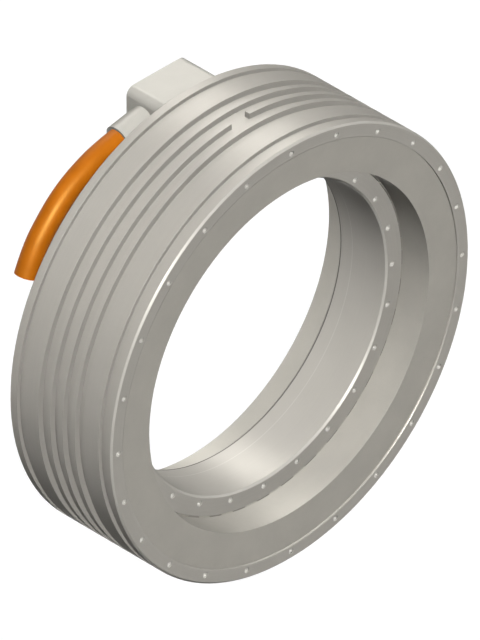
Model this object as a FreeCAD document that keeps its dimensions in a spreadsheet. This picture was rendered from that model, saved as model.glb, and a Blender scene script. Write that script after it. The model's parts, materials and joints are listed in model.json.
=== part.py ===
import FreeCAD, Part
import math
import os

import Sketcher

# Ring-shaped built-in torque motor with a liquid-cooled stator jacket.
# The stator is a finned ring with wound teeth cast in resin, and the rotor is a steel ring with
# magnets on its outside. It has no shaft and no bearings: the machine that it is built into holds both.
# Millimetres. The motor axis is Y, the front mounting face lies in Y = 0 and faces -Y, and Z points up
# through the connection box. The radial sizes are a stack of walls that starts at the rotor's bore.

PARTS_FOLDER = "parts"

# Driving dimensions: alias, value, what it is.
DIMENSIONS = [
    ("rotor_bore_diameter", 265.0, "clear bore of the rotor"),
    ("rotor_ring_wall", 12.3, "wall of the rotor's steel ring"),
    ("magnet_thickness", 3.4, "radial thickness of a magnet"),
    ("magnet_cover_skin", 0.6, "resin skin over the magnets"),
    ("magnet_cover_lip", 1.0, "resin lip over the magnets' ends"),
    ("air_gap", 0.7, "running gap between rotor and stator"),
    ("core_height", 30.7, "radial height of the laminated core"),
    ("jacket_wall", 12.3, "wall of the cooling jacket"),
    ("jacket_length", 110.0, "length of the stator"),
    ("stack_length", 50.0, "length of the laminated core"),
    ("rotor_overhang", 0.5, "how far the rotor stands past each end of the core"),
    ("edge_chamfer", 1.5, "chamfer on the jacket's outer edges"),
    ("rotor_bore_chamfer", 1.5, "chamfer on the rotor's bore"),
    ("cooling_groove_count", 4, "coolant grooves round the jacket"),
    ("cooling_groove_width", 8.0, "width of a coolant groove"),
    ("cooling_groove_depth", 5.0, "depth of a coolant groove"),
    ("cooling_groove_pitch", 13.1, "spacing of the coolant grooves"),
    ("crossover_angle", 5.7, "length of a gap that joins two coolant grooves, in degrees"),
    ("crossover_turn", 0.6, "turn of the crossovers off the vertical, in degrees"),
    ("seal_groove_width", 5.5, "width of a groove for a sealing ring"),
    ("seal_groove_depth", 3.3, "depth of a groove for a sealing ring"),
    ("seal_groove_inset", 8.3, "distance of a seal groove from the jacket's end"),
    ("stator_bolt_count", 24, "threaded holes in the stator's front face"),
    ("stator_bolt_diameter", 5.0, "thread size of the stator's holes"),
    ("stator_bolt_setback", 7.5, "distance of the holes from the jacket's outside"),
    ("stator_bolt_depth", 12.0, "depth of the stator's holes"),
    ("rotor_bolt_count", 24, "threaded holes in the rotor's front face"),
    ("rotor_bolt_diameter", 5.0, "thread size of the rotor's holes"),
    ("rotor_bolt_inset", 6.0, "distance of the holes from the rotor's bore"),
    ("rotor_bolt_depth", 12.0, "depth of the rotor's holes"),
    ("tooth_count", 36, "wound teeth of the core"),
    ("tooth_width", 13.0, "width of a tooth"),
    ("yoke_thickness", 8.2, "core behind the slots"),
    ("coil_build", 5.0, "thickness of a coil's side and end turn"),
    ("coil_clearance", 0.5, "gap between a coil and the iron or resin"),
    ("wedge_thickness", 2.4, "radial thickness of a slot wedge"),
    ("wedge_setback", 0.5, "distance of a slot wedge from the core's bore"),
    ("wedge_clearance", 0.2, "gap between a slot wedge and a tooth"),
    ("coil_wedge_gap", 0.8, "gap between a slot wedge and the coils"),
    ("magnet_count", 48, "magnets round the rotor, half of them north"),
    ("magnet_spacing", 1.6, "gap between two magnets"),
    ("front_recess", 1.7, "front resin face below the jacket's end"),
    ("rear_recess", 0.8, "rear resin face below the jacket's end"),
    ("resin_setback", 0.9, "resin bore outside the core's bore"),
    ("resin_wall", 1.2, "resin wall inside the coil ends"),
    ("lead_ring_width", 2.5, "radial width of a connection ring"),
    ("lead_ring_thickness", 3.0, "axial thickness of a connection ring"),
    ("lead_ring_spacing", 1.4, "gap between two connection rings"),
    ("lead_ring_sides", 18, "straight sides of a connection ring"),
    ("seat_gap", 0.3, "gap where one inner piece rests on another"),
    ("sensor_count", 3, "temperature sensors between the coils"),
    ("sensor_width", 3.6, "width of a temperature sensor"),
    ("sensor_length", 14.0, "length of a temperature sensor"),
    ("box_width", 63.8, "width of the connection box"),
    ("box_depth", 35.0, "how far the box stands out of the stator's rear"),
    ("box_top_setback", 2.9, "top of the box below the jacket's outside"),
    ("box_top_radius", 7.4, "rounding of the box's upper edges"),
    ("box_floor", 4.0, "box wall against the stator"),
    ("box_rim", 2.5, "box wall round its cover"),
    ("box_side_ledge", 7.0, "ledge under the cover at the box's sides"),
    ("box_top_ledge", 9.1, "ledge under the cover at the box's top"),
    ("box_bottom_ledge", 1.5, "ledge under the cover at the box's bottom"),
    ("cover_thickness", 3.0, "thickness of the box's cover"),
    ("cover_clearance", 0.2, "gap round the cover"),
    ("gasket_thickness", 1.0, "thickness of the cover's gasket"),
    ("gasket_width", 1.3, "width of the gasket's frame"),
    ("cover_screw_diameter", 3.0, "thread size of the cover's screws"),
    ("cover_screw_length", 10.0, "length of the cover's screws under the head"),
    ("cover_screw_head_diameter", 5.6, "head of a cover screw"),
    ("cover_screw_head_height", 1.6, "height of a cover screw's head"),
    ("box_screw_diameter", 3.0, "thread size of the screws that hold the box"),
    ("box_screw_head_diameter", 5.5, "head of a box screw"),
    ("box_screw_head_height", 3.0, "height of a box screw's head"),
    ("box_screw_grip", 8.0, "depth of a box screw in the jacket"),
    ("box_screw_angle", 6.0, "place of a box screw beside the vertical, in degrees"),
    ("screw_clearance", 0.1, "gap round a screw"),
    ("lead_bar_width", 3.0, "width of a lead-out bar"),
    ("lead_bar_spacing", 8.0, "spacing of the lead-out bars"),
    ("lead_bar_clearance", 0.7, "box cavity's bottom below the lowest lead-out bar"),
    ("terminal_block_width", 24.0, "width of the terminal block"),
    ("terminal_block_height", 16.0, "height of the terminal block"),
    ("terminal_block_depth", 10.0, "depth of the terminal block"),
    ("terminal_block_inset", 6.0, "terminal block behind the box's floor"),
    ("cable_diameter", 19.0, "outside of the power cable"),
    ("cable_axis_inset", 17.5, "cable axis behind the stator's rear face"),
    ("cable_axis_drop", 20.9, "cable axis below the box's top, at the box's side"),
    ("cable_exit_slope", 10.4, "fall of the cable's exit, in degrees"),
    ("sleeve_wall", 2.5, "wall of the cable's sleeve"),
    ("sleeve_length", 27.0, "length of the sleeve outside the box"),
    ("sleeve_socket", 4.0, "depth of the sleeve in the box's wall"),
    ("sleeve_shoulder", 14.0, "place of the shoulder in the sleeve that the cable's jacket meets"),
    ("sleeve_clearance", 0.1, "gap between the sleeve and the cable"),
    ("core_wire_diameter", 4.0, "outside of one of the cable's cores"),
    ("core_wire_spacing", 5.0, "spacing of the cable's cores"),
    ("core_end_gap", 0.9, "the cores' ends short of the terminal block, along the slope"),
]

# Sizes that follow from the driving ones: name, expression.
LAYOUT = [
    ("rotor_bore_radius", "Dimensions.rotor_bore_diameter / 2"),
    ("magnet_seat_radius", "Layout.rotor_bore_radius + Dimensions.rotor_ring_wall"),
    ("magnet_outer_radius", "Layout.magnet_seat_radius + Dimensions.magnet_thickness"),
    ("rotor_outer_radius", "Layout.magnet_outer_radius + Dimensions.magnet_cover_skin"),
    ("core_bore_radius", "Layout.rotor_outer_radius + Dimensions.air_gap"),
    ("jacket_bore_radius", "Layout.core_bore_radius + Dimensions.core_height"),
    ("jacket_outer_radius", "Layout.jacket_bore_radius + Dimensions.jacket_wall"),
    ("mid_plane", "Dimensions.jacket_length / 2"),
    ("stack_front", "Layout.mid_plane - Dimensions.stack_length / 2"),
    ("stack_rear", "Layout.mid_plane + Dimensions.stack_length / 2"),
    ("rotor_front", "Layout.stack_front - Dimensions.rotor_overhang"),
    ("rotor_rear", "Layout.stack_rear + Dimensions.rotor_overhang"),
    ("groove_floor_radius", "Layout.jacket_outer_radius - Dimensions.cooling_groove_depth"),
    ("groove_span", "(Dimensions.cooling_groove_count - 1) * Dimensions.cooling_groove_pitch"),
    ("first_groove_front", "Layout.mid_plane - Layout.groove_span / 2 - Dimensions.cooling_groove_width / 2"),
    ("first_land_front", "Layout.first_groove_front + Dimensions.cooling_groove_width"),
    ("land_width", "Dimensions.cooling_groove_pitch - Dimensions.cooling_groove_width"),
    ("seal_floor_radius", "Layout.jacket_outer_radius - Dimensions.seal_groove_depth"),
    ("seal_span", "Dimensions.jacket_length - 2 * Dimensions.seal_groove_inset"
     " - Dimensions.seal_groove_width"),
    ("stator_bolt_radius", "Layout.jacket_outer_radius - Dimensions.stator_bolt_setback"),
    ("rotor_bolt_radius", "Layout.rotor_bore_radius + Dimensions.rotor_bolt_inset"),
    ("half_tooth_pitch", "180 / Dimensions.tooth_count"),
    ("slot_floor_radius", "Layout.jacket_bore_radius - Dimensions.yoke_thickness"),
    ("wedge_inner_radius", "Layout.core_bore_radius + Dimensions.wedge_setback"),
    ("wedge_outer_radius", "Layout.wedge_inner_radius + Dimensions.wedge_thickness"),
    ("coil_inner_radius", "Layout.wedge_outer_radius + Dimensions.coil_wedge_gap"),
    ("coil_height", "Layout.slot_floor_radius - Dimensions.coil_clearance - Layout.coil_inner_radius"),
    ("coil_hole_half_width", "Dimensions.tooth_width / 2 + Dimensions.coil_clearance"),
    ("coil_hole_half_length", "Dimensions.stack_length / 2 + Dimensions.coil_clearance"),
    ("coil_half_width", "Layout.coil_hole_half_width + Dimensions.coil_build"),
    ("coil_half_length", "Layout.coil_hole_half_length + Dimensions.coil_build"),
    ("resin_bore_radius", "Layout.core_bore_radius + Dimensions.resin_setback"),
    ("resin_wall_radius", "Layout.resin_bore_radius + Dimensions.resin_wall"),
    ("front_resin_depth", "Layout.mid_plane - Layout.coil_half_length - Dimensions.coil_clearance"),
    ("lead_ring_front", "Layout.mid_plane + Layout.coil_half_length + Dimensions.seat_gap"),
    ("lead_ring_rear", "Layout.lead_ring_front + Dimensions.lead_ring_thickness"),
    ("lead_ring_step", "Dimensions.lead_ring_width + Dimensions.lead_ring_spacing"),
    ("rear_resin_depth", "Layout.lead_ring_rear + Dimensions.seat_gap"),
    ("lead_ring_flat", "cos(180 / Dimensions.lead_ring_sides)"),
    ("star_radius", "(Layout.resin_wall_radius + Dimensions.seat_gap) / Layout.lead_ring_flat"),
    ("lead_radius_u", "Layout.star_radius + Layout.lead_ring_step"),
    ("lead_radius_v", "Layout.lead_radius_u + Layout.lead_ring_step"),
    ("lead_radius_w", "Layout.lead_radius_v + Layout.lead_ring_step"),
    ("pole_pitch", "360 / Dimensions.magnet_count"),
    ("magnet_angle", "Layout.pole_pitch"
     " - 180 / pi * Dimensions.magnet_spacing / Layout.magnet_outer_radius"),
    ("sensor_radius", "Layout.coil_inner_radius + Layout.coil_height / 2"),
    ("sensor_front", "Layout.mid_plane + Layout.coil_half_length - Dimensions.sensor_length"),
    ("box_half_width", "Dimensions.box_width / 2"),
    ("box_top", "Layout.jacket_outer_radius - Dimensions.box_top_setback"),
    ("box_rear", "Dimensions.jacket_length + Dimensions.box_depth"),
    ("ledge_plane", "Layout.box_rear - Dimensions.cover_thickness - Dimensions.gasket_thickness"),
    ("gasket_plane", "Layout.box_rear - Dimensions.cover_thickness"),
    ("rebate_half_width", "Layout.box_half_width - Dimensions.box_rim"),
    ("rebate_top", "Layout.box_top - Dimensions.box_rim"),
    ("rebate_radius", "Dimensions.box_top_radius - Dimensions.box_rim"),
    ("cavity_half_width", "Layout.rebate_half_width - Dimensions.box_side_ledge"),
    ("cavity_top", "Layout.rebate_top - Dimensions.box_top_ledge"),
    ("cavity_bottom", "Layout.lead_radius_u * Layout.lead_ring_flat - Dimensions.lead_bar_clearance"),
    ("rebate_bottom", "Layout.cavity_bottom - Dimensions.box_bottom_ledge"),
    ("box_bottom", "Layout.rebate_bottom - Dimensions.box_rim"),
    ("cavity_front", "Dimensions.jacket_length + Dimensions.box_floor"),
    ("cover_screw_x", "Layout.cavity_half_width + Dimensions.box_side_ledge / 2"),
    ("cover_screw_top", "Layout.rebate_top - Dimensions.box_side_ledge / 2"),
    ("cover_screw_bottom", "Layout.rebate_bottom + Dimensions.box_side_ledge / 2"),
    ("box_screw_x", "Layout.stator_bolt_radius * sin(Dimensions.box_screw_angle)"),
    ("box_screw_z", "Layout.stator_bolt_radius * cos(Dimensions.box_screw_angle)"),
    ("box_screw_seat", "Layout.ledge_plane - Dimensions.box_screw_head_height - Dimensions.screw_clearance"),
    ("cable_axis_y", "Dimensions.jacket_length + Dimensions.cable_axis_inset"),
    ("cable_axis_z", "Layout.box_top - Dimensions.cable_axis_drop"),
    ("cable_radius", "Dimensions.cable_diameter / 2"),
    ("sleeve_radius", "Layout.cable_radius + Dimensions.sleeve_wall"),
    ("core_hole_radius", "Dimensions.core_wire_spacing / sqrt(2) + Dimensions.core_wire_diameter / 2"
     " + Dimensions.seat_gap"),
    ("terminal_front", "Layout.cavity_front + Dimensions.terminal_block_inset"),
    ("terminal_middle", "(Layout.cavity_top + Layout.cavity_bottom) / 2"),
]

# The cable's route in the plane of its axis, (X, Z) from the shoulder in its sleeve to its cut end.
CABLE_ROUTE = [
    (-45.67, 166.17),
    (-72.75, 161.2),
    (-96.24, 152.87),
    (-117.02, 140.59),
    (-133.95, 124.18),
    (-148.52, 105.94),
    (-156.65, 86.99),
]
ARC_SHARE = 0.45

doc = FreeCAD.newDocument("TorqueMotor")
sheet = doc.addObject("Spreadsheet::Sheet", "Dimensions")
layout = doc.addObject("App::VarSet", "Layout")


def fill_sheet():
    for row, (alias, value, note) in enumerate(DIMENSIONS, start=1):
        sheet.set(f"A{row}", note)
        sheet.set(f"B{row}", str(value))
        sheet.setAlias(f"B{row}", alias)
    doc.recompute()


def fill_layout():
    for name, expression in LAYOUT:
        layout.addProperty("App::PropertyFloat", name, "Sizes")
        layout.setExpression(name, expression)
        doc.recompute()


def value_of(expression):
    """The number that an expression gives now."""
    return float(layout.evalExpression(str(expression)))


def size(name):
    """A driving dimension or a layout size, by its name, as an expression."""
    owner = "Dimensions" if any(name == alias for alias, _, _ in DIMENSIONS) else "Layout"
    return f"{owner}.{name}"


def new_body(label):
    body = doc.addObject("PartDesign::Body", label)
    body.Label = label
    return body


def origin_feature(body, role):
    return next(feature for feature in body.Origin.OriginFeatures if feature.Role == role)


def new_sketch(body, name, plane, offset=None):
    """A sketch on one of the body's own origin planes, moved along the plane's normal by an expression."""
    sketch = body.newObject("Sketcher::SketchObject", name)
    sketch.AttachmentSupport = (origin_feature(body, plane), [""])
    sketch.MapMode = "FlatFace"
    if offset is not None:
        sketch.setExpression("AttachmentOffset.Base.z", offset)
    return sketch


def add_polygon(sketch, points):
    """A closed outline whose corners are (x, y) pairs of expressions."""
    corners = [FreeCAD.Vector(value_of(x), value_of(y), 0) for x, y in points]
    count = len(corners)
    first = sketch.GeometryCount
    for index, corner in enumerate(corners):
        sketch.addGeometry(Part.LineSegment(corner, corners[(index + 1) % count]))
    for index in range(count):
        following = (index + 1) % count
        sketch.addConstraint(Sketcher.Constraint("Coincident", first + index, 2, first + following, 1))
    for index, corner in enumerate(corners):
        for kind, value, expression in (
            ("DistanceX", corner.x, points[index][0]),
            ("DistanceY", corner.y, points[index][1]),
        ):
            number = sketch.addConstraint(Sketcher.Constraint(kind, -1, 1, first + index, 1, value))
            sketch.setExpression(f"Constraints[{number}]", str(expression))


def add_circle(sketch, x, y, radius):
    """A circle whose centre and radius are expressions."""
    centre = FreeCAD.Vector(value_of(x), value_of(y), 0)
    index = sketch.addGeometry(Part.Circle(centre, FreeCAD.Vector(0, 0, 1), value_of(radius)))
    for constraint, expression in (
        (Sketcher.Constraint("DistanceX", -1, 1, index, 3, centre.x), x),
        (Sketcher.Constraint("DistanceY", -1, 1, index, 3, centre.y), y),
        (Sketcher.Constraint("Radius", index, value_of(radius)), radius),
    ):
        number = sketch.addConstraint(constraint)
        sketch.setExpression(f"Constraints[{number}]", str(expression))


def rectangle(x_low, x_high, y_low, y_high):
    return [(x_low, y_low), (x_high, y_low), (x_high, y_high), (x_low, y_high)]


def revolved(body, name, points, kind="Revolution", angle="360"):
    """A full or partial turn about the motor axis of an outline given as (radius, axial place)."""
    sketch = new_sketch(body, f"{name}_sketch", "XY_Plane")
    add_polygon(sketch, points)
    feature = body.newObject(f"PartDesign::{kind}", name)
    feature.Profile = sketch
    feature.ReferenceAxis = (sketch, ["V_Axis"])
    feature.Midplane = True
    feature.setExpression("Angle", angle)
    return feature


def padded(body, name, draw, start, length, plane="XZ_Plane"):
    """A pad that starts at a place along the motor axis and grows to the rear."""
    sketch = new_sketch(body, f"{name}_sketch", plane, f"-({start})")
    draw(sketch)
    pad = body.newObject("PartDesign::Pad", name)
    pad.Profile = sketch
    pad.Reversed = True
    pad.setExpression("Length", length)
    return pad


def pocketed(body, name, draw, start, length):
    """A pocket that starts at a place along the motor axis and cuts to the rear."""
    sketch = new_sketch(body, f"{name}_sketch", "XZ_Plane", f"-({start})")
    draw(sketch)
    doc.recompute()
    pocket = body.newObject("PartDesign::Pocket", name)
    pocket.Profile = sketch
    pocket.setExpression("Length", length)
    return pocket


def around_axis(body, name, originals, count, overall="360"):
    """Equal copies of features round the motor axis."""
    pattern = body.newObject("PartDesign::PolarPattern", name)
    pattern.Originals = originals
    pattern.Axis = (origin_feature(body, "Y_Axis"), [""])
    pattern.setExpression("Angle", overall)
    pattern.setExpression("Occurrences", count)
    body.Tip = pattern
    return pattern


def along_axis(body, name, originals, count, span):
    """Equal copies of features along the motor axis."""
    pattern = body.newObject("PartDesign::LinearPattern", name)
    pattern.Originals = originals
    pattern.Direction = (origin_feature(body, "Y_Axis"), [""])
    pattern.setExpression("Length", span)
    pattern.setExpression("Occurrences", count)
    body.Tip = pattern
    return pattern


def turn_body(body, angle):
    """Turns a whole body about the motor axis by an expression in degrees."""
    body.Placement = FreeCAD.Placement(FreeCAD.Vector(), FreeCAD.Rotation(FreeCAD.Vector(0, 1, 0), 1))
    body.setExpression("Placement.Rotation.Angle", angle)


def make_cooling_jacket():
    """The turned jacket: coolant grooves and their crossovers, seal grooves and threaded holes."""
    body = new_body("cooling_jacket")
    inner, outer = size("jacket_bore_radius"), size("jacket_outer_radius")
    length, chamfer = size("jacket_length"), size("edge_chamfer")
    revolved(body, "JacketRing", [
        (inner, "0"),
        (f"{outer} - {chamfer}", "0"),
        (outer, chamfer),
        (outer, f"{length} - {chamfer}"),
        (f"{outer} - {chamfer}", length),
        (inner, length),
    ])
    outside = f"{outer} + 1"
    front = size("first_groove_front")
    coolant = revolved(body, "CoolantGroove", rectangle(
        size("groove_floor_radius"), outside, front, f"{front} + {size('cooling_groove_width')}"), "Groove")
    along_axis(body, "CoolantGrooves", [coolant], size("cooling_groove_count"), size("groove_span"))
    inset = size("seal_groove_inset")
    seal = revolved(body, "SealGroove", rectangle(
        size("seal_floor_radius"), outside, inset, f"{inset} + {size('seal_groove_width')}"), "Groove")
    along_axis(body, "SealGrooves", [seal], "2", size("seal_span"))
    for land, turn in enumerate((180, 0, 180)):
        cut_crossover(body, land, turn)
    bolts = pocketed(body, "StatorBolt", lambda sketch: add_circle(
        sketch, size("stator_bolt_radius"), "0", f"{size('stator_bolt_diameter')} / 2"),
        "0", size("stator_bolt_depth"))
    around_axis(body, "StatorBolts", [bolts], size("stator_bolt_count"))
    hole_radius = f"{size('box_screw_diameter')} / 2 + {size('screw_clearance')}"
    grip = f"({size('box_screw_grip')} + 1)"
    pocketed(body, "BoxScrewHoles", lambda sketch: [add_circle(
        sketch, f"{side} * {size('box_screw_x')}", size("box_screw_z"), hole_radius) for side in (-1, 1)],
        f"{length} - {grip}", f"{grip} + 1")
    return body


def cut_crossover(body, land, turn):
    """Opens one land between two coolant grooves down to their floor, at the top or at the bottom."""
    front = f"{size('first_land_front')} + {land} * {size('cooling_groove_pitch')}"
    sketch = new_sketch(body, f"Crossover{land}_sketch", "YZ_Plane")
    overlap = f"{size('cooling_groove_width')} / 4"
    add_polygon(sketch, rectangle(
        f"{front} - {overlap}", f"{front} + {size('land_width')} + {overlap}",
        size("groove_floor_radius"), f"{size('jacket_outer_radius')} + 1"))
    sketch.AttachmentOffset = FreeCAD.Placement(
        FreeCAD.Vector(), FreeCAD.Rotation(FreeCAD.Vector(1, 0, 0), 1))
    sketch.setExpression("AttachmentOffset.Rotation.Angle", f"{turn} - {size('crossover_turn')}")
    groove = body.newObject("PartDesign::Groove", f"Crossover{land}")
    groove.Profile = sketch
    groove.ReferenceAxis = (sketch, ["H_Axis"])
    groove.Midplane = True
    groove.setExpression("Angle", size("crossover_angle"))


def slot_half_width(radius):
    """Half the width of a slot between parallel-sided teeth, at a radius along the slot's middle."""
    pitch = size("half_tooth_pitch")
    return f"({radius} * sin({pitch}) - {size('tooth_width')} / 2) / cos({pitch})"


def make_stator_core():
    """The laminated core with open slots between parallel-sided teeth."""
    body = new_body("stator_core")
    inner, outer = size("core_bore_radius"), size("jacket_bore_radius")
    start, length = size("stack_front"), size("stack_length")
    revolved(body, "CoreRing", rectangle(inner, outer, start, size("stack_rear")))
    low, high = f"({inner} - 1)", size("slot_floor_radius")
    low_half, high_half = slot_half_width(low), slot_half_width(high)
    slot = pocketed(body, "Slot", lambda sketch: add_polygon(sketch, [
        (f"-({low_half})", low), (low_half, low), (high_half, high), (f"-({high_half})", high)]),
        f"{start} - 1", f"{length} + 2")
    around_axis(body, "Slots", [slot], size("tooth_count"))
    turn_body(body, size("half_tooth_pitch"))
    return body


def make_slot_wedges():
    """The bars that close the slots towards the air gap."""
    body = new_body("slot_wedges")
    low, high = size("wedge_inner_radius"), size("wedge_outer_radius")
    half = f"({slot_half_width(low)} - {size('wedge_clearance')})"
    wedge = padded(body, "Wedge", lambda sketch: add_polygon(
        sketch, rectangle(f"-{half}", half, low, high)), size("stack_front"), size("stack_length"))
    around_axis(body, "Wedges", [wedge], size("tooth_count"))
    turn_body(body, size("half_tooth_pitch"))
    return body


def make_coils(label, tooth):
    """One phase's coils, a closed winding round every third tooth."""
    body = new_body(label)
    sketch = new_sketch(body, "Winding_sketch", "XY_Plane", size("coil_inner_radius"))
    middle = size("mid_plane")
    for half_width, half_length in (
        (size("coil_half_width"), size("coil_half_length")),
        (size("coil_hole_half_width"), size("coil_hole_half_length")),
    ):
        add_polygon(sketch, rectangle(
            f"-{half_width}", half_width, f"{middle} - {half_length}", f"{middle} + {half_length}"))
    winding = body.newObject("PartDesign::Pad", "Winding")
    winding.Profile = sketch
    winding.setExpression("Length", size("coil_height"))
    around_axis(body, "Windings", [winding], f"{size('tooth_count')} / 3")
    turn_body(body, f"{tooth} * 360 / {size('tooth_count')}")
    return body


def make_resin_ring(label, face, step, core_face):
    """The resin cast over the coil ends: a thick end plate and the thin wall inside the coils."""
    body = new_body(label)
    bore, wall, outer = size("resin_bore_radius"), size("resin_wall_radius"), size("jacket_bore_radius")
    revolved(body, "ResinSection", [
        (bore, face), (outer, face), (outer, step), (wall, step), (wall, core_face), (bore, core_face)])
    return body


def make_front_resin():
    step, core_face = size("front_resin_depth"), size("stack_front")
    return make_resin_ring("front_resin", size("front_recess"), step, core_face)


def make_rear_resin():
    """The rear resin, with a window for each lead-out bar."""
    face = f"({size('jacket_length')} - {size('rear_recess')})"
    step = size("rear_resin_depth")
    body = make_resin_ring("rear_resin", face, step, size("stack_rear"))
    gap = size("screw_clearance")
    pocketed(body, "LeadWindows", lambda sketch: draw_lead_bars(sketch, gap),
             f"{step} - 1", f"{face} - {step} + 2")
    return body


def make_lead_ring(label, radius):
    """A connection ring of straight runs from coil to coil, cut from two prisms."""
    radii = (f"{radius} + {size('lead_ring_width')}", radius)
    prisms = []
    for name, reach in zip(("Outer", "Inner"), radii):
        prism = doc.addObject("Part::Prism", f"{label}_{name}")
        prism.setExpression("Polygon", size("lead_ring_sides"))
        prism.setExpression("Circumradius", reach)
        prism.setExpression("Height", size("lead_ring_thickness"))
        prism.Placement = FreeCAD.Placement(
            FreeCAD.Vector(), FreeCAD.Rotation(FreeCAD.Vector(1, 0, 0), -90))
        prism.setExpression("Placement.Base.y", size("lead_ring_front"))
        prisms.append(prism)
    ring = doc.addObject("Part::Cut", label)
    ring.Base, ring.Tool = prisms
    ring.Label = label
    return ring


def draw_lead_bars(sketch, margin):
    """The sections of the three lead-out bars, each on its own connection ring, grown by a margin."""
    half = f"({size('lead_bar_width')} / 2 + {margin})"
    for place, ring in ((-1, "lead_radius_u"), (0, "lead_radius_v"), (1, "lead_radius_w")):
        middle = f"{place} * {size('lead_bar_spacing')}"
        low = f"{size(ring)} * {size('lead_ring_flat')}"
        add_polygon(sketch, rectangle(
            f"{middle} - {half}", f"{middle} + {half}",
            f"{low} - {margin}", f"{low} + {size('lead_ring_width')} + {margin}"))


def make_lead_bars():
    """The three bars that carry the phases from their rings to the terminal block."""
    body = new_body("lead_bars")
    start = size("lead_ring_rear")
    padded(body, "Bars", lambda sketch: draw_lead_bars(sketch, "0"),
           start, f"{size('terminal_front')} - {start}")
    return body


def make_temperature_sensors():
    """Sensors in the gaps between neighbouring coils, at their rear ends."""
    body = new_body("temperature_sensors")
    half, middle = f"{size('sensor_width')} / 2", size("sensor_radius")
    sensor = padded(body, "Sensor", lambda sketch: add_polygon(sketch, rectangle(
        f"-{half}", half, f"{middle} - {half}", f"{middle} + {half}")),
        size("sensor_front"), size("sensor_length"))
    around_axis(body, "Sensors", [sensor], size("sensor_count"))
    turn_body(body, size("half_tooth_pitch"))
    return body


def make_rotor_ring():
    """The rotor's steel ring with its chamfered bore and threaded holes."""
    body = new_body("rotor_ring")
    inner, outer = size("rotor_bore_radius"), size("magnet_seat_radius")
    front, rear, chamfer = size("rotor_front"), size("rotor_rear"), size("rotor_bore_chamfer")
    revolved(body, "RotorSection", [
        (inner, f"{front} + {chamfer}"),
        (f"{inner} + {chamfer}", front),
        (outer, front),
        (outer, rear),
        (f"{inner} + {chamfer}", rear),
        (inner, f"{rear} - {chamfer}"),
    ])
    bolt = pocketed(body, "RotorBolt", lambda sketch: add_circle(
        sketch, size("rotor_bolt_radius"), "0", f"{size('rotor_bolt_diameter')} / 2"),
        front, size("rotor_bolt_depth"))
    around_axis(body, "RotorBolts", [bolt], size("rotor_bolt_count"))
    return body


def make_magnets(label, pole):
    """The magnets of one polarity, every other one round the rotor."""
    body = new_body(label)
    lip = size("magnet_cover_lip")
    magnet = revolved(body, "Magnet", rectangle(
        size("magnet_seat_radius"), size("magnet_outer_radius"),
        f"{size('rotor_front')} + {lip}", f"{size('rotor_rear')} - {lip}"), angle=size("magnet_angle"))
    around_axis(body, "Magnets", [magnet], f"{size('magnet_count')} / 2")
    turn_body(body, f"{pole} * 360 / {size('magnet_count')}")
    return body


def make_magnet_cover():
    """The resin cover over the magnets, with a lip over both their ends."""
    body = new_body("magnet_cover")
    seat, top, outer = size("magnet_seat_radius"), size("magnet_outer_radius"), size("rotor_outer_radius")
    front, rear, lip = size("rotor_front"), size("rotor_rear"), size("magnet_cover_lip")
    revolved(body, "CoverSection", [
        (seat, front),
        (outer, front),
        (outer, rear),
        (seat, rear),
        (seat, f"{rear} - {lip}"),
        (top, f"{rear} - {lip}"),
        (top, f"{front} + {lip}"),
        (seat, f"{front} + {lip}"),
    ])
    return body


def draw_rounded_box(sketch, half_width, low, high, radius):
    """A box outline with rounded upper corners, as two arcs between straight sides."""
    half, bottom, top, bend = (value_of(part) for part in (half_width, low, high, radius))
    shoulder = half - bend
    corner_z = top - bend
    add = sketch.addGeometry
    point = FreeCAD.Vector
    base = add(Part.LineSegment(point(-half, bottom, 0), point(half, bottom, 0)))
    right = add(Part.LineSegment(point(half, bottom, 0), point(half, corner_z, 0)))
    arc_right = add(Part.ArcOfCircle(
        Part.Circle(point(shoulder, corner_z, 0), point(0, 0, 1), bend), 0, math.pi / 2))
    crown = add(Part.LineSegment(point(shoulder, top, 0), point(-shoulder, top, 0)))
    arc_left = add(Part.ArcOfCircle(
        Part.Circle(point(-shoulder, corner_z, 0), point(0, 0, 1), bend), math.pi / 2, math.pi))
    left = add(Part.LineSegment(point(-half, corner_z, 0), point(-half, bottom, 0)))
    constrain = sketch.addConstraint
    constrain(Sketcher.Constraint("Coincident", base, 2, right, 1))
    constrain(Sketcher.Constraint("Tangent", right, 2, arc_right, 1))
    constrain(Sketcher.Constraint("Tangent", arc_right, 2, crown, 1))
    constrain(Sketcher.Constraint("Tangent", crown, 2, arc_left, 1))
    constrain(Sketcher.Constraint("Tangent", arc_left, 2, left, 1))
    constrain(Sketcher.Constraint("Coincident", left, 2, base, 1))
    constrain(Sketcher.Constraint("Equal", arc_right, arc_left))
    for constraint, expression in (
        (Sketcher.Constraint("DistanceX", -1, 1, base, 1, -half), f"-({half_width})"),
        (Sketcher.Constraint("DistanceX", -1, 1, base, 2, half), half_width),
        (Sketcher.Constraint("DistanceY", -1, 1, base, 1, bottom), low),
        (Sketcher.Constraint("DistanceY", -1, 1, base, 2, bottom), low),
        (Sketcher.Constraint("DistanceY", -1, 1, crown, 1, top), high),
        (Sketcher.Constraint("DistanceX", -1, 1, right, 2, half), half_width),
        (Sketcher.Constraint("DistanceX", -1, 1, left, 1, -half), f"-({half_width})"),
        (Sketcher.Constraint("Radius", arc_right, bend), radius),
    ):
        number = constrain(constraint)
        sketch.setExpression(f"Constraints[{number}]", expression)


def draw_rebate(sketch, margin):
    """The outline of the recess that takes the cover, shrunk by a margin."""
    draw_rounded_box(
        sketch, f"{size('rebate_half_width')} - {margin}", f"{size('rebate_bottom')} + {margin}",
        f"{size('rebate_top')} - {margin}", f"{size('rebate_radius')} - {margin}")


def draw_cavity(sketch, margin="0"):
    """The outline of the box's cavity, grown by a margin."""
    half = f"({size('cavity_half_width')} + {margin})"
    add_polygon(sketch, rectangle(
        f"-{half}", half, f"{size('cavity_bottom')} - {margin}", f"{size('cavity_top')} + {margin}"))


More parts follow.
